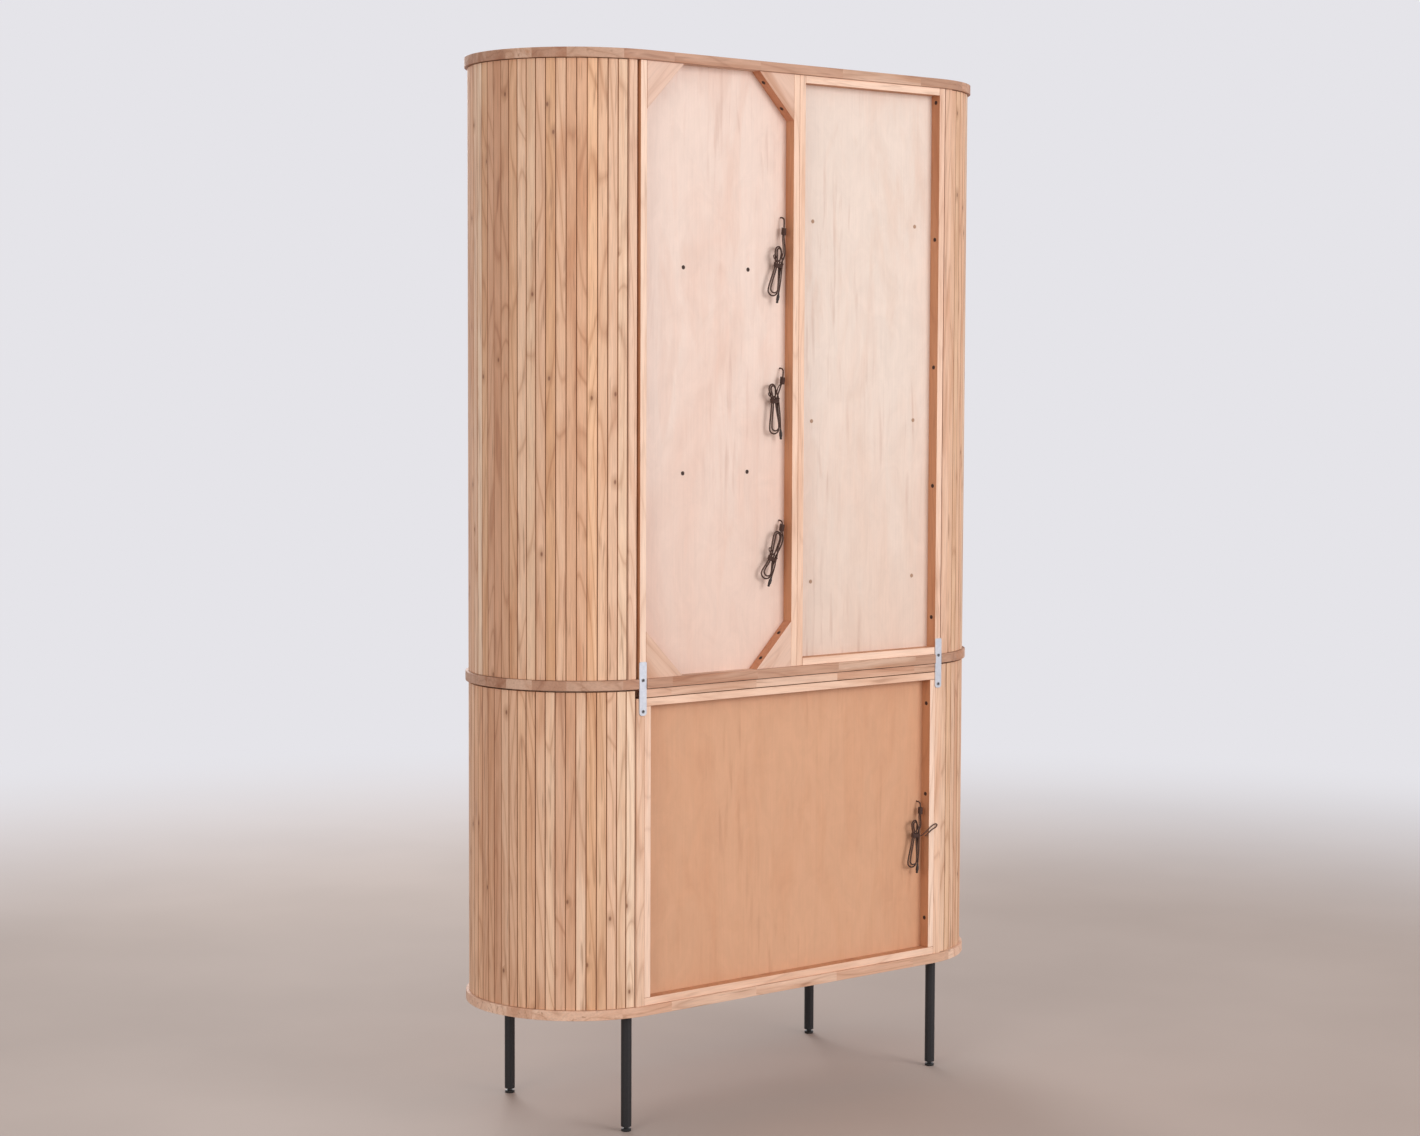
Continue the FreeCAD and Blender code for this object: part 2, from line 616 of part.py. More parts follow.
def turned(name, profile):
    """A body turned about its own upright axis from a half section."""
    body = doc.addObject("PartDesign::Body", name)
    sketch = sketch_on(body, name + "_half", plane="XZ_Plane")
    outline(sketch, profile)
    spin = body.newObject("PartDesign::Revolution", name + "_turn")
    spin.Profile = sketch
    spin.ReferenceAxis = (sketch, ["V_Axis"])
    spin.Angle = 360
    return body


def make_legs():
    legs = []
    bore = "stud_radius + bush_play"
    bore_top = "leg_low + stud_length + stud_room"
    spigot = "leg_spigot - bush_play"
    spigot_top = "base_height + leg_spigot_length - bush_play"
    for k, (x, y) in enumerate(LEG_SPOTS):
        leg = turned(f"leg{k}", [
            ("0", bore_top), (bore, bore_top), (bore, "leg_low"), ("leg_radius", "leg_low"),
            ("leg_radius", "base_height"), (spigot, "base_height"), (spigot, spigot_top),
            ("0", spigot_top)])
        place(leg, x, y)
        legs.append(leg)
    set_of("legs", legs)
    names = ("front_left_foot", "front_right_foot", "rear_left_foot", "rear_right_foot")
    stud_top = "leg_low + stud_length"
    for name, (x, y) in zip(names, LEG_SPOTS):
        foot = turned(name, [
            ("0", "0"), ("foot_pad", "0"), ("foot_pad", "foot_height"), ("stud_radius", "foot_height"),
            ("stud_radius", stud_top), ("0", stud_top)])
        place(foot, x, y)
        keep(foot, name)


# ---------------------------------------------------------------- plates, screws and lights

def plate_span(side):
    return sided(side, "lower_half - plate_inset", "lower_half - plate_inset + plate_width")


def make_plates():
    plates = []
    screws = []
    for side in (-1, 1):
        xs = plate_span(side)
        zs = ("mid_height - plate_length / 2", "mid_height + plate_length / 2")
        plates.append(block("joining_plate", xs, ("rear", "rear + plate_thick"), zs))
        middle = f"({xs[0]} + {xs[1]}) / 2"
        for z in ("mid_height + plate_screw_rise", "mid_height - plate_screw_drop"):
            screws.append(head("plate_screw", "plate_screw_head", middle, "rear + plate_thick", z, TO_REAR))
    set_of("joining_plates", plates)
    set_of("plate_screws", screws)


def disc(name, radius, height, x, y, z, facing):
    """A small round drawn with a few flats: a lead's hole, or a screw head lying on the face it holds."""
    item = doc.addObject("Part::Prism", name)
    item.Polygon = FLAT_COUNT
    bind(item, "Circumradius", radius)
    bind(item, "Height", height)
    item.Placement.Rotation = facing
    place(item, x, y, z)
    return item


def head(name, radius, x, y, z, facing):
    return disc(name, radius, "screw_rise", x, y, z, facing)


def make_screws():
    screws = []
    right = ("wall + right_screw_in", "upper_half - wall - right_screw_out")
    left = ("-(wall + left_screw_in)", "-(upper_half - wall - left_screw_out)")
    rows = (
        (("right_shelf_low", "right_shelf_high"), right),
        (("left_shelf_low", "left_shelf_mid", "left_shelf_high"), left))
    for heights, places in rows:
        for x in places:
            screws += [head("panel_screw", "screw_head", x, "panel_rear", z, TO_REAR) for z in heights]
    # Up the inner faces of the left walls, each as a share of the unit's inside height.
    walls = (
        ("-(upper_half - wall)", "mid_top", "top_under", (0.066, 0.3, 0.51, 0.735, 0.975)),
        ("-(lower_half - wall)", "base_top", "cap_under", (0.13, 0.57, 0.89)))
    for x, low, high, shares in walls:
        for share in shares:
            z = f"{low} + {share} * ({high} - {low})"
            screws.append(head("wall_screw", "screw_head", x, "rear - wall_screw_back", z, TO_RIGHT))
    for corner, sign, facing in (("mid_top", "+", TO_UPPER_RIGHT), ("top_under", "-", TO_LOWER_RIGHT)):
        for reach in ("gusset_screw_in", "gusset_screw_out"):
            z = f"{corner} {sign} (gusset_leg - {reach})"
            screws.append(head(
                "gusset_screw", "screw_head", f"wall + {reach}", "rear - recess / 2", z, facing))
    set_of("wood_screws", screws)


LEADS = (
    ("upper_lead", "wall + lead_exit", "lead_high"), ("middle_lead", "wall + lead_exit", "lead_middle"),
    ("low_lead", "wall + lead_exit", "lead_low"),
    ("base_lead", "-(lower_half - wall) + lead_exit", "lead_lower_exit"))


def make_lights():
    """An upright light bar inside the back corner at each lead's exit."""
    bars = []
    for name, x, z in LEADS:
        xs = (f"{x} - light_width / 2", f"{x} + light_width / 2")
        zs = (f"{z} - light_length / 2", f"{z} + light_length / 2")
        bars.append(block("light_bar", xs, ("panel_front - light_depth", "panel_front"), zs))
    set_of("light_bars", bars)


# ---------------------------------------------------------------- tied light leads

# Each lead's own drop to its hank, and its lean in degrees.
HANKS = {"upper_lead": (56, 3), "middle_lead": (32, 7), "low_lead": (22, 10), "base_lead": (36, 2)}
# A hank has two layers of loops.
LOOP_COUNT = 1


def common_tangent(one, two):
    """The straight run between two turns; a turn is (centre, radius), with a negative radius clockwise."""
    (first, r_one), (second, r_two) = one, two
    gap = second - first
    course = math.atan2(gap.y, gap.x) + math.asin((r_one - r_two) / gap.Length)
    normal = Vector(math.sin(course), -math.cos(course), 0)
    return first + normal * r_one, second + normal * r_two


def hank_turns(drop):
    """The turns of a waisted hank: in from the outside on the inner layer, out again on the rear one."""
    step = size("wire_step")
    half = size("hank_half")
    widest = size("hank_end + wire_step * " + str(LOOP_COUNT))
    reach = size("waist_reach")
    radius = widest
    centre = Vector(widest + step / 2, -(drop + half + widest), 0)
    top = centre + Vector(0, half, 0)
    bottom = centre - Vector(0, half, 0)

    def waist(sign, radius):
        drawn = radius - size("waist_draw")
        return centre + Vector(sign * reach, 0, 0), -(reach - drawn)

    turns = [(top, radius + step / 2)]
    for _ in range(LOOP_COUNT):
        turns += [waist(-1, radius), (bottom, radius)]
        turns += [waist(1, radius - step / 2), (top, radius - step / 2)]
        radius -= step
    # The lead climbs to the rear layer inside its smallest loop, a full step from its neighbours.
    climb_at = len(turns) + 1
    for _ in range(LOOP_COUNT):
        turns += [waist(-1, radius), (bottom, radius)]
        turns += [waist(1, radius + step / 2), (top, radius + step)]
        radius += step
    turns += [waist(-1, radius), (bottom, radius)]
    return centre, turns, climb_at


def s_climb(start, end, course):
    """Two equal arcs that rise from one layer to the next and end along the run's own direction."""
    middle = (start + end) / 2
    rise = end - start
    along = rise.dot(course)
    lift = rise - course * along
    up = lift / lift.Length
    radius = (along ** 2 + lift.Length ** 2) / (4 * lift.Length)
    half_turn = math.asin(along / 2 / radius) / 2
    bulge = course * (radius * math.sin(half_turn)) + up * (radius * (1 - math.cos(half_turn)))
    return [Part.Arc(start, start + bulge, middle).toShape(), Part.Arc(middle, end - bulge, end).toShape()]


def turn_arc(turn, start, end, shift):
    """The arc of one turn from where a run meets it to where the next run leaves it."""
    centre, radius = turn
    first = math.atan2(start.y - centre.y, start.x - centre.x)
    last = math.atan2(end.y - centre.y, end.x - centre.x)
    sweep = (last - first) % math.tau if radius > 0 else -((first - last) % math.tau)
    angle = first + sweep / 2
    middle = centre + Vector(math.cos(angle), math.sin(angle), 0) * abs(radius)
    return Part.Arc(start + shift, middle + shift, end + shift).toShape()


def lead_path(drop):
    """One lead's whole line, with x away from the nearby wall, y up and z from the back panel inward:
    out of its hole, down, and through the loops of its hank."""
    centre, turns, climb_at = hank_turns(drop)
    bend = size("lead_bend")
    flat = Vector(0, 0, -size("wire_stand"))
    layer = Vector(0, 0, -size("wire_layer"))
    start = flat + Vector(0, 0, bend)
    hub = start + Vector(0, -bend, 0)
    inside = hub + Vector(0, bend, -bend) * math.sin(math.pi / 4)
    edges = [Part.LineSegment(Vector(0, 0, 0), start).toShape()]
    edges.append(Part.Arc(start, inside, hub + Vector(0, 0, -bend)).toShape())
    entry = (Vector(0, -bend, 0), 0)
    lowest = turns[-1][0]
    tail = (lowest - Vector(turns[-1][1], turns[-1][1], 0), 0)
    chain = [entry] + turns + [tail]
    shift = flat
    leave = None
    for k in range(len(chain) - 1):
        out, into = common_tangent(chain[k], chain[k + 1])
        if leave is not None:
            edges.append(turn_arc(chain[k], leave, out, shift))
        if k == climb_at:
            course = (into - out).normalize()
            edges += s_climb(out + shift, into + shift + layer, course)
            shift = flat + layer
        else:
            edges.append(Part.LineSegment(out + shift, into + shift).toShape())
        leave = into
    return edges, centre, tail[0] + shift


def self_gap(edges):
    """The least distance between stretches of the lead that don't adjoin, less its own thickness."""
    spacing = size("wire") / 2
    points = []
    for edge in edges:
        points += edge.discretize(Distance=spacing)[:-1]
    skip = int(4 * size("wire") / spacing)
    least = min(
        (points[i] - points[j]).Length
        for i in range(0, len(points), 2) for j in range(i + skip, len(points), 2))
    return least - size("wire")


def make_leads():
    ties = []
    plugs = []
    # The path's x runs to the right, its y up and its z to the front, from the back panel's rear face.
    facing = Rotation(Vector(1, 0, 0), Vector(0, 0, 1), Vector(0, -1, 0), "XYZ")
    half = size("wire") / 2
    corners = [Vector(half * x, half * y, 0) for x, y in ((1, 1), (-1, 1), (-1, -1), (1, -1), (1, 1))]
    section = Part.makePolygon(corners)
    for name, x, z in LEADS:
        drop, lean = HANKS[name]
        edges, centre, tail = lead_path(drop)
        path = Part.Wire(edges)
        solid = path.makePipeShell([section], True, False)
        expected = size("wire") ** 2 * path.Length
        tightest = min(edge.Curve.Radius for edge in edges if hasattr(edge.Curve, "Radius"))
        print(f"{name}: length {path.Length:.0f} mm, volume {solid.Volume:.0f} of {expected:.0f} mm3")
        print(f"{name}: least gap {self_gap(edges):.2f} mm, tightest bend {tightest:.1f} mm")
        turn = facing * Rotation(Vector(0, 0, 1), lean)
        spot = Placement(Vector(size(x), size("panel_rear"), size(z)), turn)
        keep(fixed(name, solid, spot), name)
        ties.append(fixed(name + "_tie", tie(centre), spot))
        plugs.append(fixed(name + "_plug", plug(tail), spot))
    set_of("lead_ties", ties)
    set_of("lead_plugs", plugs)


def fixed(name, shape, spot):
    """A shape made with the geometry functions, set in its place."""
    item = doc.addObject("Part::Feature", name)
    item.Shape = shape
    item.Placement = spot
    return item


def tie(centre):
    """A thin band round the waist of the hank."""
    half = size("hank_end + wire_step * " + str(LOOP_COUNT) + " - waist_draw + wire / 2 + tie_play")
    inner_end = -size("wire_stand - wire / 2 - tie_play")
    rear_end = -size("wire_stand + wire_layer + wire / 2 + tie_play")
    skin = size("tie_skin")
    tall = size("tie_height")
    over = size("cut_over")
    deep = inner_end - rear_end
    corner = centre + Vector(-half, -tall / 2, rear_end)
    outer = Part.makeBox(2 * (half + skin), tall, deep + 2 * skin, corner - Vector(skin, 0, skin))
    inner = Part.makeBox(2 * half, tall + 2 * over, deep, corner - Vector(0, over, 0))
    return outer.cut(inner)


def plug(tail):
    """A small connector on the lead's end, hanging down."""
    wide, tall, thick = size("plug_width"), size("plug_length"), size("plug_thick")
    return Part.makeBox(wide, tall, thick, tail - Vector(wide / 2, tall, thick / 2))


# ---------------------------------------------------------------- build, test and write

def check():
    doc.recompute()
    for item in doc.Objects:
        if "Invalid" in item.State or "Error" in item.State:
            raise RuntimeError(f"{item.Label} failed: {item.State}")
    for item in NODES:
        shape = item.Shape
        if shape.isNull() or not shape.isValid() or shape.Volume <= 0:
            raise RuntimeError(f"{item.Label} has no sound shape")


def write_parts():
    os.makedirs("parts", exist_ok=True)
    for item in NODES:
        item.Shape.exportStep(f"parts/{item.Label}.step")
    print(f"{len(NODES)} sub-parts, {sum(len(item.Shape.Solids) for item in NODES)} solids")


make_boards()
make_ends()
make_boxes()
make_gussets()
make_doors()
make_legs()
make_plates()
make_screws()
make_lights()
make_leads()
check()
write_parts()
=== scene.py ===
import math
import random
from collections import namedtuple
import bmesh
import bpy
from mathutils import Matrix, Vector
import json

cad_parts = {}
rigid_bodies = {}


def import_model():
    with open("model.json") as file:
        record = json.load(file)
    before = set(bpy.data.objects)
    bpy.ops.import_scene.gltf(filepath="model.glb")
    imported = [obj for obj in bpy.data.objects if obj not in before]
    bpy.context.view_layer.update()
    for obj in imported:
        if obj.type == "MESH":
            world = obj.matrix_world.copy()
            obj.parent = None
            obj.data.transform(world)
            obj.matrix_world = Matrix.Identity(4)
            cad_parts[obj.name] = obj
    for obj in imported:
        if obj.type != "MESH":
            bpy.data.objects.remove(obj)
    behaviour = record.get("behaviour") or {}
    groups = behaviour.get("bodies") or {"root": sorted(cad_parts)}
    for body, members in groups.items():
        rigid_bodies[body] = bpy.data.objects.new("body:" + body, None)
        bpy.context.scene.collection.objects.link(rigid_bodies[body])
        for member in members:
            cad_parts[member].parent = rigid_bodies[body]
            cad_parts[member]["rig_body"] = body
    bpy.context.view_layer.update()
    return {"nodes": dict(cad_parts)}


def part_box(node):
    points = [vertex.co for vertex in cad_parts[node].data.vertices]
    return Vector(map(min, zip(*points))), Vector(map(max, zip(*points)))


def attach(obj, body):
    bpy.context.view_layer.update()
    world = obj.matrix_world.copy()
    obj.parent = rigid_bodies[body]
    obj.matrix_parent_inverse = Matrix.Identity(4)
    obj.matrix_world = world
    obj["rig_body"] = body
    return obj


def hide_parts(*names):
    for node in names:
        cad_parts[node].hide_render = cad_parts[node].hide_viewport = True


# Pocket door cabinet, dressed for its picture.  The frame is the CAD model's, in metres: origin on
# the floor under the middle, +Z up, doors facing -Y, back at +Y.  Measures of the leads, ties,
# screws, plates, legs, feet and eased edges are in millimetres and are turned into metres by MM.

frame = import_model()
NODES = frame["nodes"]
MM = 0.001
SCENE = bpy.context.scene
RANDOM_SEED = 11

# ---------------------------------------- camera

CAMERA_PLACE = (3.6271, 4.2444, 1.4099)
CAMERA_COURSE = (-0.6438, -0.7621, -0.0682)
CAMERA_ROLL = math.radians(0.22)
CAMERA_LENS = 71.46
CAMERA_SENSOR = 36.0


def make_camera():
    data = bpy.data.cameras.new("camera")
    data.sensor_fit = "HORIZONTAL"
    data.sensor_width = CAMERA_SENSOR
    data.lens = CAMERA_LENS
    camera = link("camera", data)
    aim = Vector(CAMERA_COURSE).to_track_quat("-Z", "Y").to_matrix()
    turned = aim @ Matrix.Rotation(CAMERA_ROLL, 3, "Z")
    camera.matrix_world = Matrix.Translation(CAMERA_PLACE) @ turned.to_4x4()
    SCENE.camera = camera


# ---------------------------------------- finishes

def shade(red, green, blue):
    """A colour of 0 to 255 as seen, in the linear values that Blender's sockets take."""
    linear = []
    for value in (red / 255, green / 255, blue / 255):
        linear.append(value / 12.92 if value <= 0.04045 else ((value + 0.055) / 1.055) ** 2.4)
    return (*linear, 1.0)


class Finish:
    """One procedural material, and short ways to add nodes to it."""

    def __init__(self, name, roughness=0.6, metallic=0.0):
        self.material = bpy.data.materials.new(name)
        self.material.use_nodes = True
        self.tree = self.material.node_tree
        self.shader = self.tree.nodes["Principled BSDF"]
        self.shader.inputs["Roughness"].default_value = roughness
        self.shader.inputs["Metallic"].default_value = metallic

    def node(self, kind, values=None, **settings):
        made = self.tree.nodes.new(kind)
        for key, value in settings.items():
            setattr(made, key, value)
        for key, value in (values or {}).items():
            self.feed(made.inputs[key], value)
        return made

    def feed(self, socket, value):
        if isinstance(value, bpy.types.NodeSocket):
            self.tree.links.new(value, socket)
        else:
            socket.default_value = value

    def place(self):
        return self.node("ShaderNodeTexCoord").outputs["Object"]

    def given(self, name, output="Fac"):
        """A value kept on the mesh: piece picks a tone, and board where the grain is read."""
        return self.node("ShaderNodeAttribute", attribute_name=name).outputs[output]

    def math(self, operation, one, two=0.0):
        return self.node("ShaderNodeMath", {0: one, 1: two}, operation=operation).outputs[0]

    def vector(self, operation, one, two):
        return self.node("ShaderNodeVectorMath", {0: one, 1: two}, operation=operation).outputs[0]

    def noise(self, vector, scale, detail=3.0, rough=0.5, distortion=0.0):
        values = {
            "Vector": vector, "Scale": scale, "Detail": detail, "Roughness": rough,
            "Distortion": distortion}
        return self.node("ShaderNodeTexNoise", values).outputs["Fac"]

    def ramp(self, factor, stops):
        made = self.node("ShaderNodeValToRGB", {"Fac": factor})
        ramp = made.color_ramp
        while len(ramp.elements) < len(stops):
            ramp.elements.new(0.5)
        while len(ramp.elements) > len(stops):
            ramp.elements.remove(ramp.elements[-1])
        in_order = sorted(stops, key=lambda stop: stop[0])
        for element, (position, colour) in zip(ramp.elements, in_order):
            element.position = position
            element.color = colour
        return made.outputs["Color"]

    def grey(self, factor, low, high, dark, light):
        """A grey that goes from dark to light while the factor goes from low to high."""
        return self.ramp(factor, [(low, (dark, dark, dark, 1)), (high, (light, light, light, 1))])

    def mix(self, factor, one, two, blend="MIX"):
        made = self.node(
            "ShaderNodeMix", {0: factor, 6: one, 7: two}, data_type="RGBA", blend_type=blend)
        return made.outputs[2]

    def span(self, value, low, high, least, most):
        """Least to most while the value goes from low to high."""
        values = {
            "Value": value, "From Min": low, "From Max": high, "To Min": least, "To Max": most}
        return self.node("ShaderNodeMapRange", values).outputs["Result"]

    def colour(self, value):
        self.feed(self.shader.inputs["Base Color"], value)

    def rough(self, value):
        self.feed(self.shader.inputs["Roughness"], value)

    def bump(self, height, strength, distance):
        values = {"Height": height, "Strength": strength, "Distance": distance}
        made = self.node("ShaderNodeBump", values)
        self.feed(self.shader.inputs["Normal"], made.outputs["Normal"])


# Which way the grain runs: a texture is squeezed along it, so its marks come out long.
AXES = {"x": 0, "y": 1, "z": 2}
STAVE_WIDTH = 0.052
STAVE_LENGTH = 0.21
# How far each row of staves starts past the one before it, in staves.
STAVE_START = 0.377
# How far apart the grain of two boards is read, so that no two show the same marks.
BOARD_SHIFT = {"X": 3.7, "Y": 5.9, "Z": 8.3}
WOOD_ROUGHNESS = (0.63, 0.49)


def squeezed(make, place, grain, share):
    factors = [1.0, 1.0, 1.0]
    factors[AXES[grain]] = share
    return make.vector("MULTIPLY", place, tuple(factors))


def wood(name, tones, grain="z", staves=False, laid=False, slant=0.0, figure=0.4, mottle=0.16,
         streaks=0.3, knots=0.0, shine=0.5, even=0.0):
    """Solid wood.  tones are its colours from piece to piece; figure, mottle and streaks are how
    strong its rings, broad patches and dark marks are; knots is the share of places that hold one;
    shine is its specular level; even fades the fine marks.  laid reads the place from the mesh:
    across the board, then along.  slant turns the grain about Y."""
    make = Finish(name)
    place = make.given("grain", "Vector") if laid else make.place()
    if slant:
        turned = make.node("ShaderNodeMapping", {"Vector": place, "Rotation": (0, slant, 0)})
        place = turned.outputs["Vector"]
    piece = stave_number(make, place) if staves else make.given("piece")
    board = make.given("board") if laid else piece
    shift = {axis: make.math("MULTIPLY", board, far) for axis, far in BOARD_SHIFT.items()}
    shift = make.node("ShaderNodeCombineXYZ", shift).outputs["Vector"]
    moved = make.vector("ADD", place, shift)
    long = squeezed(make, moved, grain, 0.05)
    short = squeezed(make, moved, grain, 0.12)

    steps = [(k / max(1, len(tones) - 1), shade(*tone)) for k, tone in enumerate(tones)]
    colour = make.ramp(piece, steps)

    # Broad patches, redder and deeper.
    patch = make.noise(short, 26.0, detail=3.0, distortion=0.5)
    colour = make.mix(make.span(patch, 0.5, 0.7, 0.0, mottle * 3.0), colour,
                      make.mix(1.0, colour, shade(214, 180, 152), "MULTIPLY"))

    # Growth rings: the level lines of a slow noise, drawn out along the grain.
    slow = make.noise(short, 10.0, detail=1.5, distortion=0.3)
    lines = make.math("PINGPONG", make.math("MULTIPLY", slow, 26.0), 1.0)
    ring = make.ramp(lines, [
        (0.0, shade(196, 160, 132)), (0.2, shade(246, 238, 230)), (1.0, (1.06, 1.06, 1.06, 1.0))])
    colour = make.mix(figure, colour, ring, "MULTIPLY")

    # Short dark marks, then fibres and pores.
    mark = make.noise(squeezed(make, moved, grain, 0.07), 120.0, detail=2.0, rough=0.5)
    colour = make.mix(make.span(mark, 0.62, 0.72, 0.0, streaks), colour, shade(140, 92, 62))
    fibre = make.noise(long, 330.0, detail=3.0, rough=0.6)
    colour = make.mix(1.0 - even, colour, make.grey(fibre, 0.32, 0.62, 0.93, 1.09), "MULTIPLY")
    if knots:
        colour = with_knots(make, moved, knots, colour)
    make.colour(colour)
    make.rough(make.span(mark, 0.3, 0.7, *WOOD_ROUGHNESS))
    make.shader.inputs["Specular IOR Level"].default_value = shine
    make.bump(fibre, strength=0.22, distance=0.0006)
    return make.material


def stave_number(make, place):
    """A random number for each glued stave: strips across Y, each of several lengths along X."""
    parts = make.node("ShaderNodeSeparateXYZ", {"Vector": place})
    row = make.math("FLOOR", make.math("DIVIDE", parts.outputs["Y"], STAVE_WIDTH))
    start = make.math("MULTIPLY", row, STAVE_START)
    length = make.math("ADD", make.math("DIVIDE", parts.outputs["X"], STAVE_LENGTH), start)
    cell = make.node("ShaderNodeCombineXYZ", {"X": make.math("FLOOR", length), "Y": row, "Z": 0.5})
    pick = make.node(
        "ShaderNodeTexWhiteNoise", {"Vector": cell.outputs["Vector"]}, noise_dimensions="3D")
    return pick.outputs["Value"]


def with_knots(make, moved, share, colour):
    """Small brown knots, each with a darker eye, in a few cells of a loose scatter."""
    spot = squeezed(make, moved, "y", 0.55)
    cells = make.node(
        "ShaderNodeTexVoronoi", {"Vector": spot, "Scale": 24.0, "Randomness": 1.0},
        voronoi_dimensions="2D")
    chosen = make.node("ShaderNodeTexWhiteNoise", {"Vector": cells.outputs["Position"]})
    here = make.math("LESS_THAN", chosen.outputs["Value"], share)
    halo = make.math("MULTIPLY", here, make.span(cells.outputs["Distance"], 0.05, 0.26, 0.6, 0.0))
    eye = make.math("MULTIPLY", here, make.span(cells.outputs["Distance"], 0.03, 0.07, 0.75, 0.0))
    colour = make.mix(halo, colour, shade(176, 126, 92))
    return make.mix(eye, colour, shade(118, 70, 46))


def back_veneer(name, pale, warm, deep, flecks=0.35, low=(0.0, 0.0)):
    """Thin rotary-cut plywood: wide soft upright clouds, blotches, a few darker flecks, and a faint
    grain.  low gives the heights between which the sheet turns warmer, downward: painted warm light
    bounced up from the floor."""
    make = Finish(name)
    place = make.place()
    height = make.node("ShaderNodeSeparateXYZ", {"Vector": place}).outputs["Z"]
    cloud = make.noise(squeezed(make, place, "z", 0.3), 6.5, detail=4.0, rough=0.6, distortion=0.6)
    colour = make.ramp(cloud, [(0.3, shade(*warm)), (0.52, shade(*pale)), (0.72, shade(*pale))])
    # Painted light: warm light bounced from the floor, deepening the sheet toward its bottom
    # between the heights in low.
    colour = make.mix(make.span(height, low[1], low[0] + 0.001, 0.0, 0.6), colour, shade(*deep))
    wisp = make.noise(squeezed(make, place, "z", 0.2), 17.0, detail=4.0, rough=0.6, distortion=1.0)
    colour = make.mix(make.span(wisp, 0.5, 0.72, 0.0, 0.55), colour, shade(*deep))
    blotch = make.noise(
        squeezed(make, place, "z", 0.6), 21.0, detail=5.0, rough=0.68, distortion=1.2)
    colour = make.mix(1.0, colour, make.grey(blotch, 0.36, 0.64, 0.97, 1.03), "MULTIPLY")
    fleck = make.noise(squeezed(make, place, "z", 0.09), 75.0, detail=2.0, distortion=0.3)
    area = make.noise(squeezed(make, place, "z", 0.5), 5.0, detail=1.0)
    amount = make.math("MULTIPLY", make.span(fleck, 0.56, 0.72, 0.0, flecks),
                       make.span(area, 0.48, 0.6, 0.0, 1.0))
    colour = make.mix(amount, colour, make.mix(1.0, colour, shade(206, 178, 164), "MULTIPLY"))
    lines = make.noise(squeezed(make, place, "z", 0.03), 260.0, detail=3.0, rough=0.6)
    colour = make.mix(1.0, colour, make.grey(lines, 0.3, 0.65, 0.97, 1.01), "MULTIPLY")
    make.colour(colour)
    make.rough(make.span(wisp, 0.3, 0.7, 0.62, 0.5))
    make.bump(lines, strength=0.12, distance=0.0004)
    return make.material


CLOUD_GLOSS = 0.08
CLOUD_RELIEF = 0.3 * MM


def cloudy(name, dark, light, scale, roughness, metallic=0.0, squeeze=(1.0, 1.0, 1.0), bump=0.1):
    """A coated, moulded or metal surface: two near tones in a fine cloud, and uneven gloss."""
    make = Finish(name, metallic=metallic)
    stretched = make.vector("MULTIPLY", make.place(), squeeze)
    cloud = make.noise(stretched, scale, detail=4.0, rough=0.6)
    make.colour(make.ramp(cloud, [(0.3, shade(*dark)), (0.7, shade(*light))]))
    make.rough(make.span(cloud, 0.3, 0.7, roughness + CLOUD_GLOSS, roughness - CLOUD_GLOSS))
    make.bump(cloud, bump, CLOUD_RELIEF)
    return make.material


SLAT_TONES = [
    (238, 201, 172), (229, 182, 148), (214, 169, 139), (240, 196, 160), (224, 178, 147),
    (243, 216, 192), (222, 175, 137), (234, 193, 163), (211, 163, 133), (242, 206, 178)]
# Where the palest of those ten tones lies, from 0 to 1.
PALE_SLAT = 5 / 9
# Painted shade: bevels and groove sides are darker than the slat faces, standing in for the shade
# in the V-grooves between slats.
BEVEL_SHADE_TONES = [(150, 100, 68), (196, 146, 110), (170, 120, 86), (208, 160, 126)]
GROOVE_SHADE_TONES = [(112, 70, 46), (150, 104, 74)]
BOARD_TONES = [
    (206, 164, 138), (184, 140, 116), (216, 182, 160), (170, 126, 102), (198, 156, 132),
    (180, 138, 114)]
PALE_BOARD_TONES = [(232, 192, 168), (212, 168, 142), (238, 204, 182), (204, 162, 136)]
BOX_TONES = [(248, 216, 195), (242, 205, 181), (250, 221, 201)]
POST_TONES = [(236, 198, 172), (242, 208, 184), (228, 188, 162)]
GUSSET_TONES = [(230, 196, 178), (223, 186, 164)]


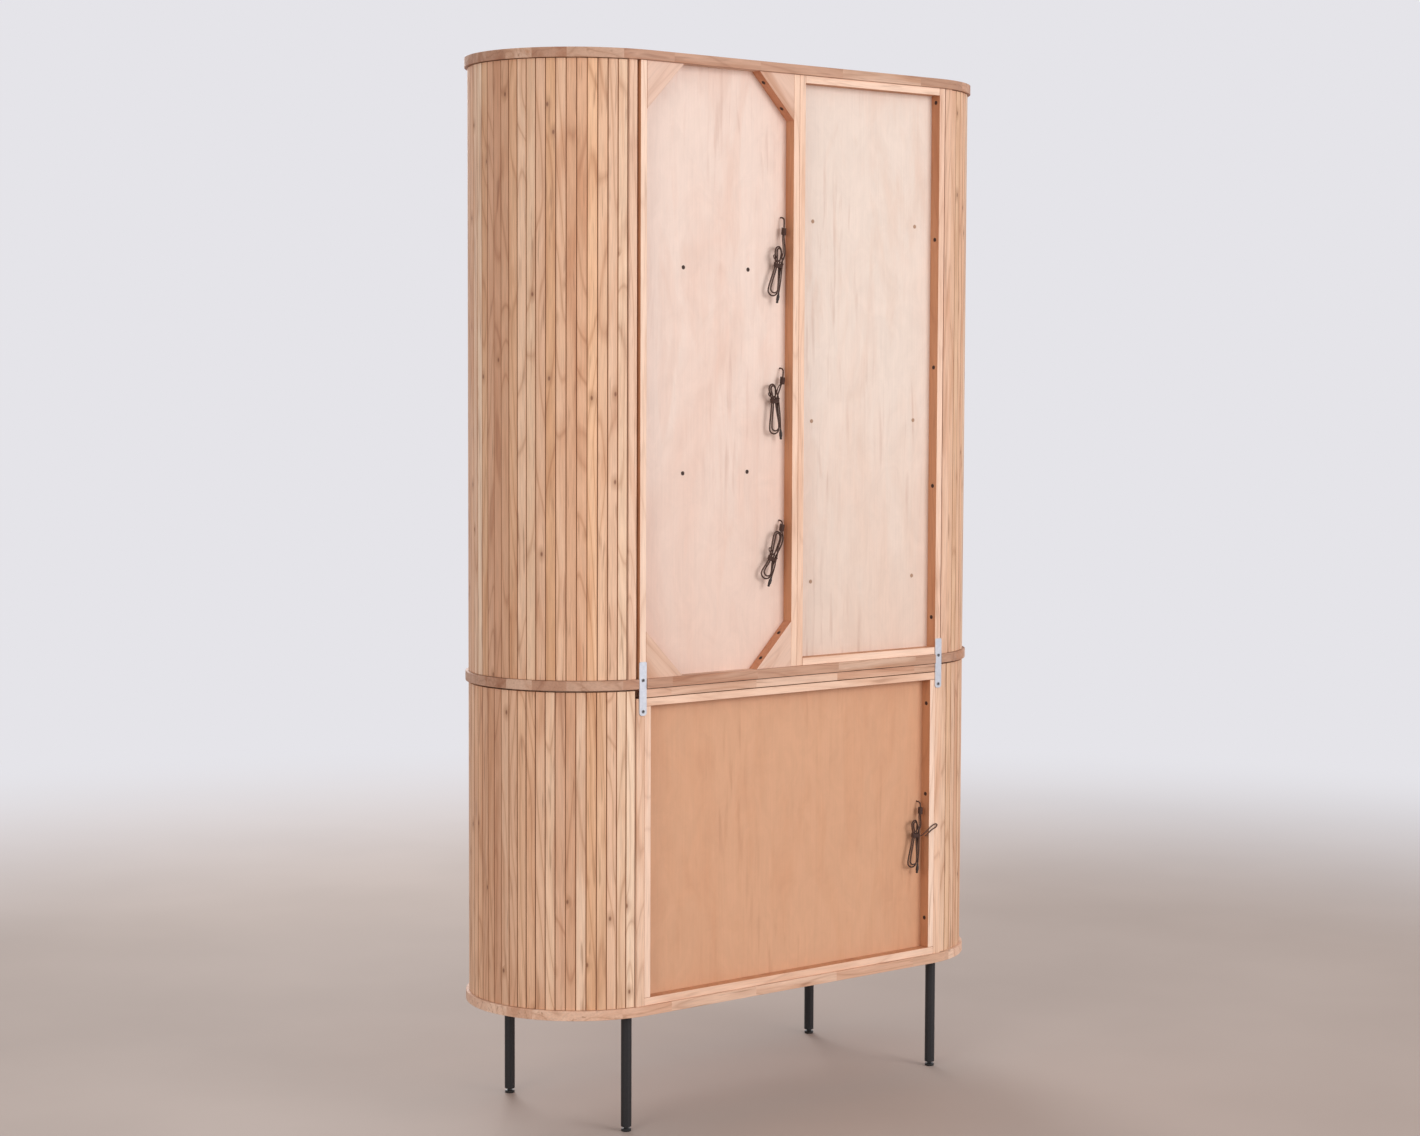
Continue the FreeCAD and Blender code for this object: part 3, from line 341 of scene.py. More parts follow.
def make_finishes():
    """Every finish, by the name that the pieces below give it."""
    gusset = {"grain": "x", "figure": 0.22, "mottle": 0.25, "streaks": 0.15, "even": 0.5}
    laid = {"grain": "y", "laid": True}
    return {
        "slat": wood("slat_wood", SLAT_TONES, **laid, figure=0.5, streaks=0.45, knots=0.1),
        # The bevel and groove finishes are darker tones of painted shade for the V-grooves.
        "bevel": wood("slat_bevel_shade", BEVEL_SHADE_TONES, **laid, even=0.4),
        "groove": wood("slat_groove", GROOVE_SHADE_TONES, **laid, even=0.4),
        # Painted shade: a dark tone for the faces inside the thin gaps over and under the lower top
        # board.
        "gap_shade": wood("board_gap_shade", [(104, 70, 50)], grain="x", even=0.4),
        "board": wood("board_ply", BOARD_TONES, grain="x", staves=True, mottle=0.3, streaks=0.5),
        "pale_board": wood("pale_board_ply", PALE_BOARD_TONES, grain="x", staves=True, streaks=0.5),
        "shell": wood("shell_ply", [(176, 130, 94)], even=0.3),
        "edge_z": wood("box_edge_upright", BOX_TONES, figure=0.25, even=0.2),
        "edge_x": wood("box_edge_level", BOX_TONES, grain="x", figure=0.25, even=0.2),
        # Partly painted shade: the boxes' inner and side faces are deeper than their edges, for the
        # ply's own tone and the shade in the recesses.
        "wall": wood("box_wall_tone_and_shade", [(200, 143, 107), (194, 138, 102)], figure=0.2, even=0.3),
        "post": wood("post_wood", POST_TONES),
        "right_back": back_veneer(
            "right_back_ply", (243, 221, 210), (238, 208, 194), (231, 196, 179), flecks=0.3,
            low=(0.85, 1.35)),
        "left_back": back_veneer(
            "left_back_ply", (239, 222, 211), (238, 213, 199), (230, 202, 185), low=(0.85, 1.3)),
        "lower_back": back_veneer(
            "lower_back_ply", (231, 187, 154), (224, 173, 138), (210, 154, 118), flecks=0.3),
        "gusset_rise": wood("gusset_rising", GUSSET_TONES, slant=math.radians(45), **gusset),
        "gusset_fall": wood("gusset_falling", GUSSET_TONES, slant=math.radians(-45), **gusset),
        # Painted shade: the gussets' sides and slanting faces are darker for the shade that falls
        # on them.
        "gusset_side_shade": wood(
            "gusset_side_shade", [(196, 138, 108)], grain="x", figure=0.2, shine=0.1, even=0.3),
        "door": wood("door_ply", [(230, 188, 152)], figure=0.25, even=0.2),
        "shelf": wood("shelf_ply", [(232, 190, 154)], grain="x", figure=0.25, even=0.2),
        "rail": cloudy("rail_metal", (186, 189, 194), (214, 216, 219), 160.0, 0.34, metallic=0.95,
                       squeeze=(0.05, 1.0, 1.0)),
        "post_steel": cloudy("post_steel", (58, 58, 62), (72, 72, 76), 240.0, 0.42, metallic=0.6),
        "pull": cloudy("pull_metal", (46, 46, 49), (58, 58, 61), 300.0, 0.4, metallic=0.5),
        "leg": cloudy("leg_steel", (33, 33, 36), (44, 44, 47), 420.0, 0.42, metallic=0.2, bump=0.2),
        "foot": cloudy("foot_plastic", (30, 30, 32), (40, 40, 42), 260.0, 0.38),
        "stud": cloudy("stud_steel", (196, 198, 202), (220, 222, 226), 240.0, 0.3, metallic=1.0),
        "zinc": cloudy("plate_zinc", (196, 200, 210), (222, 225, 232), 70.0, 0.36, metallic=0.75,
                       bump=0.12),
        "screw": cloudy("screw_steel", (62, 40, 32), (84, 58, 47), 500.0, 0.55, metallic=0.1),
        "plate_screw": cloudy("plate_screw_steel", (104, 104, 108), (132, 132, 136), 500.0, 0.42,
                              metallic=0.7),
        "pale_screw": cloudy("pale_screw", (176, 142, 118), (196, 162, 138), 500.0, 0.5,
                             metallic=0.2),
        # Painted shade: the dark disc seen through each screw's cross recess and round its head in
        # the countersink.
        "recess": cloudy("screw_recess_shade", (30, 20, 16), (46, 31, 25), 500.0, 0.7),
        "light": cloudy("light_aluminium", (196, 197, 200), (216, 217, 219), 180.0, 0.36,
                        metallic=0.95, squeeze=(1.0, 1.0, 0.05)),
        "diffuser": cloudy("light_diffuser", (232, 232, 228), (242, 242, 238), 60.0, 0.4),
        "lead": cloudy("lead_cover", (58, 34, 26), (80, 50, 38), 180.0, 0.62, bump=0.1),
        "tie": cloudy("tie_plastic", (58, 34, 26), (80, 50, 39), 300.0, 0.65),
        "plug": cloudy("plug_plastic", (34, 23, 20), (50, 35, 30), 240.0, 0.55),
    }


FINISH = make_finishes()

# ---------------------------------------- making and handing over pieces

# Edges sharper than these stay hard in the shading, or are eased.
SHARP = math.radians(32)
EASED = math.radians(35)
# Corners nearer than this are one, and faces that turn less than this are one flat face.
WELD = 2e-6
FLAT = math.radians(0.8)
# A face whose normal has more than this of an axis faces that way.
FACING = 0.5


def link(name, data):
    made = bpy.data.objects.new(name, data)
    SCENE.collection.objects.link(made)
    return made


def made_of(name, shape, finishes):
    """A new object from a bmesh, which is used up."""
    mesh = bpy.data.meshes.new(name)
    shape.to_mesh(mesh)
    shape.free()
    for finish in finishes:
        mesh.materials.append(FINISH[finish])
    return link(name, mesh)


def new_piece(name, shape, finishes, node):
    return hand_over(made_of(name, shape, finishes), node)


def hand_over(made, node):
    """Let an object stand for a CAD node and ride where it does."""
    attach(made, NODES[node]["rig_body"])
    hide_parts(node)
    return made


def smooth(made):
    for face in made.data.polygons:
        face.use_smooth = True
    made.data.set_sharp_from_angle(angle=SHARP)


def round_edges(made, width):
    bevel = made.modifiers.new("eased_edges", "BEVEL")
    bevel.width = width * MM
    bevel.segments = 2
    bevel.limit_method = "ANGLE"
    bevel.angle_limit = EASED
    bevel.use_clamp_overlap = True
    bevel.harden_normals = True


def loose_parts(shape):
    """The faces of a bmesh, in lists of those that hang together."""
    left = set(shape.faces)
    parts = []
    for start in shape.faces:
        if start not in left:
            continue
        left.discard(start)
        part = [start]
        for face in part:
            for edge in face.edges:
                for other in edge.link_faces:
                    if other in left:
                        left.discard(other)
                        part.append(other)
        parts.append(part)
    return parts


def clean_copy(node):
    """A CAD node's shape with its split corners joined and its flat faces whole again."""
    shape = bmesh.new()
    shape.from_mesh(NODES[node].data)
    bmesh.ops.remove_doubles(shape, verts=shape.verts, dist=WELD)
    bmesh.ops.dissolve_limit(shape, angle_limit=FLAT, verts=shape.verts, edges=shape.edges)
    shape.normal_update()
    return shape


def number_parts(shape, name):
    """Write a random number on the faces of each loose part, the same in every run."""
    layer = shape.faces.layers.float.new("piece")
    dice = random.Random(f"{name} {RANDOM_SEED}")
    parts = loose_parts(shape)
    for part in parts:
        value = dice.random()
        for face in part:
            face[layer] = value
    return parts


def eased(node, finishes, width=0.7, choose=None):
    """A CAD node's own shape with edges eased by a width in millimetres.  choose gives the number
    of a face's finish, from the face and the middle of its part."""
    shape = clean_copy(node)
    parts = number_parts(shape, node)
    if choose:
        for part in parts:
            centre = sum((face.calc_center_median() for face in part), Vector()) / len(part)
            for face in part:
                face.material_index = choose(face, centre)
    made = new_piece(node + "_dressed", shape, finishes, node)
    smooth(made)
    round_edges(made, width)
    return made


def plank(shape, low, high):
    """Add one plain board between two corners to a bmesh, its faces ready for eased edges."""
    made = bmesh.ops.create_cube(shape, size=1.0)
    size = Vector(high) - Vector(low)
    centre = (Vector(high) + Vector(low)) / 2
    for vertex in made["verts"]:
        vertex.co = Vector([vertex.co[k] * size[k] + centre[k] for k in range(3)])


# ---------------------------------------- tied leads

LEAD_DIAMETER = 3.0 * MM
# Each lead's hole in its back panel, its real length, the drop to its hank and its lean as in the
# CAD; then how far its hank sways about its own middle and how far its top folds turn about the
# upright, in degrees, how high its tie sits on it, and where its knot is, down from the hole.
Lead = namedtuple("Lead", "exit length drop lean sway turn rise knot")
LEADS = {
    "upper": Lead((28, 189, 1711), 574, 56, 3, 8, 19, 10, 27),
    "middle": Lead((28, 189, 1424), 550, 32, 7, -11, 18, 14, 24),
    "low": Lead((28, 189, 1132), 540, 22, 10, 12, 16, -8, 14),
    "base": Lead((-349, 189, 551), 554, 36, 2, 3, 19, 16, 18),
}
# From a hank's middle to the middle of its folds, their radius in the CAD, and how far the hank's
# middle lies from its hole, away from the nearby wall.
HANK_HALF = 34.0
HANK_WIDEST = 12.7
HANK_MIDDLE = 14.55
# How far a lead stands off its panel, each layer off the one below, and the bend out of the hole.
LEAD_STAND = 11.5
LEAD_LAYER = 3.2
LEAD_BEND = 9.0
BEND_ANGLES = (15, 45, 75)
# Half way down to the hank: how far aside a lead is, and how much lower than that half way.
HALF_WAY = (0.5, 8.0)
# A place in a hank is given from its middle, as how far aside, how far up and on which layer.
HANK_ENTRY = (-17.0, 35.8, 0.0)
TAIL = ((-11.1, -16.7, 1.25), (-10.3, -45.7, 1.25))
# The folds of a hank in order: radius, how far each strays aside and up from its place, and its
# layer.  They are nested and layered so that the runs of a hank lie clear of each other.
FOLD_POINTS = 5
BOTTOM_FOLDS = ((13.1, 2.8, -1.6, 0.25), (10.2, 2.5, 1.1, 1.3))
TOP_FOLDS = ((13.2, 2.5, -1.3, 0.0), (8.6, 1.6, 0.4, 0.45))
# Where the runs cross the tie, sideways from the middle, and on which layer.
LEFT_CROSSINGS = ((-8.5, 0.0), (-4.2, 0.0), (-9.0, 1.25))
RIGHT_CROSSINGS = ((7.0, 0.65), (4.1, 1.25))
TIE_HALF = 6.0


def depth_of(layer):
    return LEAD_STAND + LEAD_LAYER * layer


def hank_centre(drop):
    return Vector((HANK_MIDDLE, -(drop + HANK_HALF + HANK_WIDEST)))


def swayed(centre, sway, points):
    """Points given from the middle of a hank, turned about it."""
    turn = Matrix.Rotation(math.radians(sway), 2)
    spots = [(centre + turn @ Vector((x, y)), depth) for x, y, depth in points]
    return [(spot.x, spot.y, depth) for spot, depth in spots]


def fold(x, y, radius, first, depth, turn=0.0):
    """Control points round half a turn; the spline touches the circle between them."""
    step = math.pi / FOLD_POINTS
    reach = radius / math.cos(step / 2)
    points = []
    for k in range(FOLD_POINTS):
        angle = first + step * (k + 0.5)
        aside, along = reach * math.cos(angle), reach * math.sin(angle)
        points.append((x + aside * math.cos(turn), y + along, depth + aside * math.sin(turn)))
    return points


def crossing(side, middle, course):
    """Two points where a run passes the tie, going down with a course of 1 and up with -1."""
    x, layer = side
    return [(x, middle + course * TIE_HALF * end, depth_of(layer)) for end in (1, -1)]


def lead_points(lead):
    """A lead's control points: x away from the nearby wall, y up, and depth out from the panel."""
    stub = LEAD_STAND - LEAD_BEND
    reach = LEAD_BEND / math.cos(math.radians(BEND_ANGLES[0]))
    points = [(0.0, 0.0, 0.0)]
    for degrees in BEND_ANGLES:
        angle = math.radians(degrees)
        points.append((0.0, reach * math.cos(angle) - LEAD_BEND, reach * math.sin(angle) + stub))
    aside, lower = HALF_WAY
    points.append((aside, -(lead.drop / 2 + lower), LEAD_STAND))
    turn = math.radians(lead.turn)
    x, y, layer = HANK_ENTRY
    hank = [(x, y, depth_of(layer))]
    for k, (below, above) in enumerate(zip(BOTTOM_FOLDS, TOP_FOLDS)):
        hank += crossing(LEFT_CROSSINGS[k], lead.rise, 1)
        radius, aside, along, layer = below
        hank += fold(aside, along - HANK_HALF, radius, math.pi, depth_of(layer))
        hank += crossing(RIGHT_CROSSINGS[k], lead.rise, -1)
        radius, aside, along, layer = above
        hank += fold(aside, along + HANK_HALF, radius, 0.0, depth_of(layer), turn)
    hank += crossing(LEFT_CROSSINGS[2], lead.rise, 1)
    hank += [(x, y, depth_of(layer)) for x, y, layer in TAIL]
    return points + swayed(hank_centre(lead.drop), lead.sway, hank)


def to_world(hole, lean, point):
    """From a lead's own x, y and depth, in millimetres, to the cabinet's frame in metres."""
    turn = math.radians(lean)
    x, y, depth = point
    across = x * math.cos(turn) - y * math.sin(turn)
    rise = x * math.sin(turn) + y * math.cos(turn)
    return Vector((hole[0] + across, hole[1] + depth, hole[2] + rise)) * MM


def tube(name, points, radius, finish):
    """An open NURBS tube along a loose cage of points."""
    data = bpy.data.curves.new(name, "CURVE")
    data.dimensions = "3D"
    data.bevel_depth = radius
    data.bevel_resolution = 4
    data.resolution_u = 8
    data.use_fill_caps = True
    spline = data.splines.new("NURBS")
    spline.points.add(len(points) - 1)
    for spot, point in zip(spline.points, points):
        spot.co = (*point, 1.0)
    spline.order_u = 3
    spline.use_endpoint_u = True
    data.materials.append(FINISH[finish])
    return link(name, data)


# The wire of a tie: its radius, and how far it climbs in a turn of so many points.
TIE_WIRE = 1.1
TIE_RISE = 1.9
TIE_STEPS = 8
# Its turns round the waist of a hank: their middle, their half width and half depth, their number.
WAIST_MIDDLE = -1.0
WAIST_HALF = (10.6, 4.6)
WAIST_TURNS = 4
# Its way up to the knot: over the waist, then over the upper folds; aside, up, and off the waist.
OVER_WAIST = (-1.0, 12.0, 6.5)
OVER_FOLDS = (-6.0, 38.0, 4.0)
KNOT_ASIDE = 0.3
KNOT_RADIUS = 4.2
KNOT_TURNS = 7
# Its loose end, from the middle of the waist: a curl, or on the base lead a long stray loop.
CURL = (
    (-10.5, 3, 18), (-3, 6, 20.5), (9, 7, 19.5), (17, 10, 19), (19, 16, 18), (13, 18, 17),
    (9, 12, 17.5))
STRAY = (
    (-10.5, -2, 18), (-17, 5, 22), (-25, 14, 25.3), (-35, 21, 25.3), (-44, 25, 25.3),
    (-49, 22, 25.3), (-45, 17, 25.3), (-35, 13, 25.3), (-26, 6, 25.0), (-19, -1, 22))


def wound(centre, half, turns):
    """Turns of thin wire, from the lowest up, round a middle (x, y, depth); half is (x, depth)."""
    x, y, depth = centre
    points = []
    for k in range(turns * TIE_STEPS + 1):
        turned = k / TIE_STEPS
        angle = math.tau * turned
        points.append((
            x + half[0] * math.cos(angle), y + TIE_RISE * (turned - turns / 2),
            depth + half[1] * math.sin(angle)))
    return points


def tie_points(lead, tail):
    """A wire tie: its loose end, its turns round the waist, and up to a knot on the lead."""
    middle = depth_of(0.5)
    waist = wound((WAIST_MIDDLE, lead.rise, middle), WAIST_HALF, WAIST_TURNS)
    x, y, off = OVER_WAIST
    run = [(x, lead.rise + y, middle + off)]
    x, y, off = OVER_FOLDS
    run.append((x, y, middle + off))
    tail = [(x, y + lead.rise, depth) for x, y, depth in tail]
    low = swayed(hank_centre(lead.drop), lead.sway, tail[::-1] + waist + run)
    knot = wound((KNOT_ASIDE, -lead.knot, LEAD_STAND), (KNOT_RADIUS, KNOT_RADIUS), KNOT_TURNS)
    return low + knot


PLUG_LENGTH = 15.0
PLUG_RADIUS = 3.0
# Radius and height of each ring of a plug, from the end that the lead goes into.
PLUG_PROFILE = [
    (0.0, 3.5), (1.9, 3.5), (2.1, 0.5), (2.7, -0.5), (PLUG_RADIUS, -2.5), (PLUG_RADIUS, -9.0),
    (2.3, -9.6), (2.3, 0.4 - PLUG_LENGTH), (1.9, -PLUG_LENGTH), (0.0, -PLUG_LENGTH)]
PLUG_STEPS = 24


def make_leads():
    for name, lead in LEADS.items():
        node = f"{name}_lead"
        points = lead_points(lead)

        def placed(spots):
            return [to_world(lead.exit, lead.lean, spot) for spot in spots]

        cord = tube(node + "_cord", placed(points), LEAD_DIAMETER / 2, "lead")
        hand_over(cord, node)
        tail = STRAY if name == "base" else CURL
        tie = tube(name + "_tie", placed(tie_points(lead, tail)), TIE_WIRE * MM, "tie")
        hand_over(tie, "lead_ties")
        plug = make_plug(name + "_plug", *placed(points[-1:]), *placed(points[-2:-1]))
        hand_over(plug, "lead_plugs")
        tuple(Vector(lead.exit) * MM)


def make_plug(name, end, before):
    """A small barrel connector with a collar, in line with the lead's end."""
    shape = bmesh.new()
    lathe(shape, PLUG_PROFILE, PLUG_STEPS)
    turn = (before - end).to_track_quat("Z", "Y").to_matrix().to_4x4()
    bmesh.ops.transform(shape, matrix=Matrix.Translation(end) @ turn, verts=shape.verts)
    made = made_of(name, shape, ["plug"])
    smooth(made)
    return made


def lathe(shape, profile, steps):
    """Add a turned form to a bmesh, from (radius, height) points in millimetres, top first."""
    rings = []
    for radius, height in profile:
        if radius == 0.0:
            rings.append([shape.verts.new((0, 0, height * MM))])
            continue
        ring = []
        for k in range(steps):
            angle = math.tau * k / steps
            spot = Vector((radius * math.cos(angle), radius * math.sin(angle), height))
            ring.append(shape.verts.new(spot * MM))
        rings.append(ring)
    for upper, lower in zip(rings, rings[1:]):
        for k in range(steps):
            after = (k + 1) % steps
            if len(upper) == 1:
                shape.faces.new((upper[0], lower[k], lower[after]))
            elif len(lower) == 1:
                shape.faces.new((upper[k], lower[0], upper[after]))
            else:
                shape.faces.new((upper[k], lower[k], lower[after], upper[after]))
    bmesh.ops.recalc_face_normals(shape, faces=shape.faces)


# ---------------------------------------- wooden pieces

UPRIGHT = Vector((0, 0, 1))
SLAT_BEVEL = 0.9 * MM
# How far the slats stop short of the board below them and of the one above them.
SLAT_GAPS = {"upper": (0.6 * MM, 1.0 * MM), "lower": (0.6 * MM, 3.4 * MM)}
DOOR_GAPS = (0.0, 0.0)
# How many neighbours are cut from one board, and how far their tones may differ.
BOARD_RUNS = (1, 1, 2, 2, 3, 4)
TONE_PLAY = 0.09
# The finish of each side of a slat, from its back round: 0 face, 1 groove, 2 bevel.  The groove
# sides and bevels are darker, as painted shade in the V between neighbouring slats.
SECTION_FINISHES = (0, 1, 2, 0, 2, 1)
# The slats that face the rear most squarely are the palest.
REAR_FACING = 0.93


def cut_slats(node, gaps):
    """A node's slats made anew with narrow bevels.  Neighbours in runs come from one board."""
    source = clean_copy(node)
    whole = bmesh.new()
    layers = [whole.faces.layers.float.new(name) for name in ("piece", "board")]
    grain = whole.loops.layers.float_vector.new("grain")
    dice = random.Random(f"{node} {RANDOM_SEED}")
    across = 0.0
    run = 0
    for part in loose_parts(source):
        if run == 0:
            run, tone, board = dice.choice(BOARD_RUNS), dice.random(), dice.random()
        run -= 1
        outward = -max(part, key=lambda face: face.calc_area()).normal
        aside = UPRIGHT.cross(outward).normalized()
        if outward.y > REAR_FACING:
            tone = PALE_SLAT
        spots = [vertex.co for face in part for vertex in face.verts]
        low, high = (
            Vector([pick(spot.dot(axis) for spot in spots) for axis in (aside, outward, UPRIGHT)])
            for pick in (min, max))
        low.z += gaps[0]
        high.z -= gaps[1]
        section = [
            (low.x, low.y), (high.x, low.y), (high.x, high.y - SLAT_BEVEL),
            (high.x - SLAT_BEVEL, high.y), (low.x + SLAT_BEVEL, high.y),
            (low.x, high.y - SLAT_BEVEL)]
        foot, head = (
            [whole.verts.new(aside * x + outward * y + UPRIGHT * z) for x, y in section]
            for z in (low.z, high.z))
        faces = [whole.faces.new(foot[::-1]), whole.faces.new(head)]
        shown = min(1.0, max(0.0, tone + dice.uniform(-TONE_PLAY, TONE_PLAY)))
        for k in range(len(section)):
            after = (k + 1) % len(section)
            faces.append(whole.faces.new((foot[k], foot[after], head[after], head[k])))
            faces[-1].material_index = SECTION_FINISHES[k]
        for face in faces:
            face[layers[0]] = shown
            face[layers[1]] = board
            for loop in face.loops:
                spot = loop.vert.co
                loop[grain] = (across + spot.dot(aside) - low.x, spot.z, spot.dot(outward) - low.y)
        across += high.x - low.x
    source.free()
    bmesh.ops.recalc_face_normals(whole, faces=whole.faces)
    made = new_piece(node + "_cut", whole, ["slat", "groove", "bevel"], node)
    round_edges(made, width=0.3)


def make_slats():
    for unit, gaps in SLAT_GAPS.items():
        for hand in ("left", "right"):
            cut_slats(f"{unit}_{hand}_end_slats", gaps)
            cut_slats(f"{unit}_{hand}_door_slats", DOOR_GAPS)


def drawn_in(made, below, above):
    """Bring a piece's lowest and highest points in, so that a thin dark gap shows."""
    heights = [vertex.co.z for vertex in made.data.vertices]
    low, high = min(heights), max(heights)
    for vertex in made.data.vertices:
        share = (vertex.co.z - low) / (high - low)
        vertex.co.z += below * (1.0 - share) - above * share


FULL_BOARDS = {"top_board": "board", "mid_board": "board", "base_board": "pale_board"}
# How far the lower top board is drawn in at its faces, and each unit's shells at their tops.
BOARD_SEAM = 1.3 * MM
SHELL_GAPS = {"upper": 1.0 * MM, "lower": 4.0 * MM}


def make_boards():
    for node, finish in FULL_BOARDS.items():
        eased(node, [finish], width=0.6)
    # Painted shade: the top and bottom faces of the lower top board, inside its gaps, take the dark
    # finish.
    top = eased("lower_top_board", ["pale_board", "gap_shade"], width=0.6,
                choose=lambda face, _: 1 if abs(face.normal.z) > FACING else 0)
    drawn_in(top, BOARD_SEAM, BOARD_SEAM)
    for unit, gap in SHELL_GAPS.items():
        for hand in ("left", "right"):
            shell = eased(f"{unit}_{hand}_end_shell", ["shell"], width=0.4)
            drawn_in(shell, 0.0, gap)
            eased(f"{unit}_{hand}_door_panel", ["door"], width=0.6)
    eased("corner_posts", ["post"], width=0.8)
    for node in ("right_shelves", "left_shelves", "lower_shelf"):
        eased(node, ["shelf"])


WALL = 15 * MM


def box_finish(face):
    """0 and 1 are the light strips on a box's upright and level edges, and 2 is its veneer, whose
    deeper orange-brown is partly the ply's own tone and partly painted shade of the recesses.
    """
    if abs(face.normal.y) < FACING:
        return 2
    spots = [vertex.co for vertex in face.verts]
    wide, tall = (
        max(spot[k] for spot in spots) - min(spot[k] for spot in spots) for k in (0, 2))
    return 0 if tall > wide else 1


def make_boxes():
    """The right box has walls only, since its gussets lie against the boards."""
    for node in ("right_box", "left_box", "lower_box"):
        low, high = (Vector(corner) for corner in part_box(node))
        shape = bmesh.new()
        # The lower box's floor and ceiling run over the ends of its walls.
        trim = WALL if node == "lower_box" else 0.0
        plank(shape, (low.x, low.y, low.z + trim), (low.x + WALL, high.y, high.z - trim))
        plank(shape, (high.x - WALL, low.y, low.z + trim), (high.x, high.y, high.z - trim))
        if node == "left_box":
            inner, outer = low.x + WALL, high.x - WALL
            plank(shape, (inner, low.y, low.z), (outer, high.y, low.z + WALL))
            plank(shape, (inner, low.y, high.z - WALL), (outer, high.y, high.z))
        if node == "lower_box":
            plank(shape, low, (high.x, high.y, low.z + WALL))
            plank(shape, (low.x, low.y, high.z - WALL), high)
        shape.normal_update()
        number_parts(shape, node)
        for face in shape.faces:
            face.material_index = box_finish(face)
        made = new_piece(node + "_dressed", shape, ["edge_z", "edge_x", "wall"], node)
        round_edges(made, width=1.2)


def make_gussets():
    """The corner blocks; the grain of each runs along its slanting side."""
    low, high = (Vector(corner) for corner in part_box("corner_gussets"))
    middle = (low + high) / 2

    def choose(face, centre):
        # Faces that don't face front or back, the sides and slants, take the darker finish of
        # painted shade.
        if abs(face.normal.y) < FACING:
            return 2
        return 0 if (centre.x - middle.x) * (centre.z - middle.z) < 0 else 1

    finishes = ["gusset_rise", "gusset_fall", "gusset_side_shade"]
    eased("corner_gussets", finishes, width=0.8, choose=choose)


# ---------------------------------------- plates, screws, legs and feet

def cut_sheet(name, outlines, thickness, edge):
    """A thin sheet from closed outlines in millimetres; those inside the first are its holes."""
    data = bpy.data.curves.new(name, "CURVE")
    data.dimensions = "2D"
    data.fill_mode = "BOTH"
    data.extrude = (thickness / 2 - edge) * MM
    data.bevel_depth = edge * MM
    data.offset = -edge * MM
    data.bevel_resolution = 1
    for points in outlines:
        spline = data.splines.new("POLY")
        spline.points.add(len(points) - 1)
        for spot, (x, y) in zip(spline.points, points):
            spot.co = (x * MM, y * MM, 0.0, 1.0)
        spline.use_cyclic_u = True
    holder = link(name + "_outline", data)
    ready = holder.evaluated_get(bpy.context.evaluated_depsgraph_get())
    mesh = bpy.data.meshes.new_from_object(ready)
    bpy.data.objects.remove(holder)
    bpy.data.curves.remove(data)
    return mesh


CORNER_STEPS = 6


def circle(radius, steps):
    angles = [math.tau * k / steps for k in range(steps)]
    return [(radius * math.cos(angle), radius * math.sin(angle)) for angle in angles]


def rounded(width, height, lower_radius, upper_radius):
    """A rectangle about the origin, with its own rounding at each end."""
    points = []
    x, y = width / 2, height / 2
    corners = (
        (x, y, upper_radius, 0), (-x, y, upper_radius, 90), (-x, -y, lower_radius, 180),
        (x, -y, lower_radius, 270))
    for x, y, radius, first in corners:
        middle = (x - math.copysign(radius, x), y - math.copysign(radius, y))
        for k in range(CORNER_STEPS + 1):
            angle = math.radians(first + 90 * k / CORNER_STEPS)
            points.append((
                middle[0] + radius * math.cos(angle), middle[1] + radius * math.sin(angle)))
    return points


def cross(reach, half):
    """The outline of a cross recess."""
    quarter = [(half, reach), (half, half), (reach, half)]
    points = []
    for _ in range(4):
        points += quarter
        quarter = [(y, -x) for x, y in quarter]
    return points[::-1]


# A screw head: its sheet, the middle of that over its face, its cross in shares of its radius, and
# the height of its rim.
HEAD_THICKNESS = 0.8
HEAD_EDGE = 0.12
HEAD_STAND = 0.55
HEAD_STEPS = 24
CROSS_REACH = 0.62
CROSS_HALF = 0.15
RIM_STAND = 0.3


def screw_mesh(name, radius, rim):
    """A flat screw head with a cross recess, over a dark disc of painted shade that shows through
    the cross and round the head as the rim of its countersink.
    """
    outlines = [circle(radius, HEAD_STEPS), cross(radius * CROSS_REACH, radius * CROSS_HALF)]
    shape = bmesh.new()
    shape.from_mesh(cut_sheet(name, outlines, HEAD_THICKNESS, HEAD_EDGE))
    bmesh.ops.translate(shape, vec=(0, 0, HEAD_STAND * MM), verts=shape.verts)
    # The dark disc: painted shade in the cross recess and the countersink.
    floor = bmesh.ops.create_circle(
        shape, cap_ends=True, radius=radius * rim * MM, segments=HEAD_STEPS,
        matrix=Matrix.Translation((0, 0, RIM_STAND * MM)))
    for vertex in floor["verts"]:
        for face in vertex.link_faces:
            face.material_index = 1
    return shape


def heads_of(node):
    """Where each screw head of a CAD node sits on its face, and which way it faces."""
    shape = clean_copy(node)
    places = []
    for part in loose_parts(shape):
        caps = sorted(part, key=lambda face: face.calc_area())[-2:]
        inward, outward = sorted(caps, key=lambda face: face.normal.x + face.normal.y)
        places.append((inward.calc_center_median(), outward.normal.copy()))
    shape.free()
    return places


# The upper left back, whose screws are pale, lies before this x and above this z, in metres.
PALE_HEADS = (-0.02, 0.85)
# Node, radius, the rim's radius in shares of that, and finish.
SCREW_KINDS = (("wood_screws", 3.2, 1.25, "screw"), ("plate_screws", 3.2, 0.97, "plate_screw"))


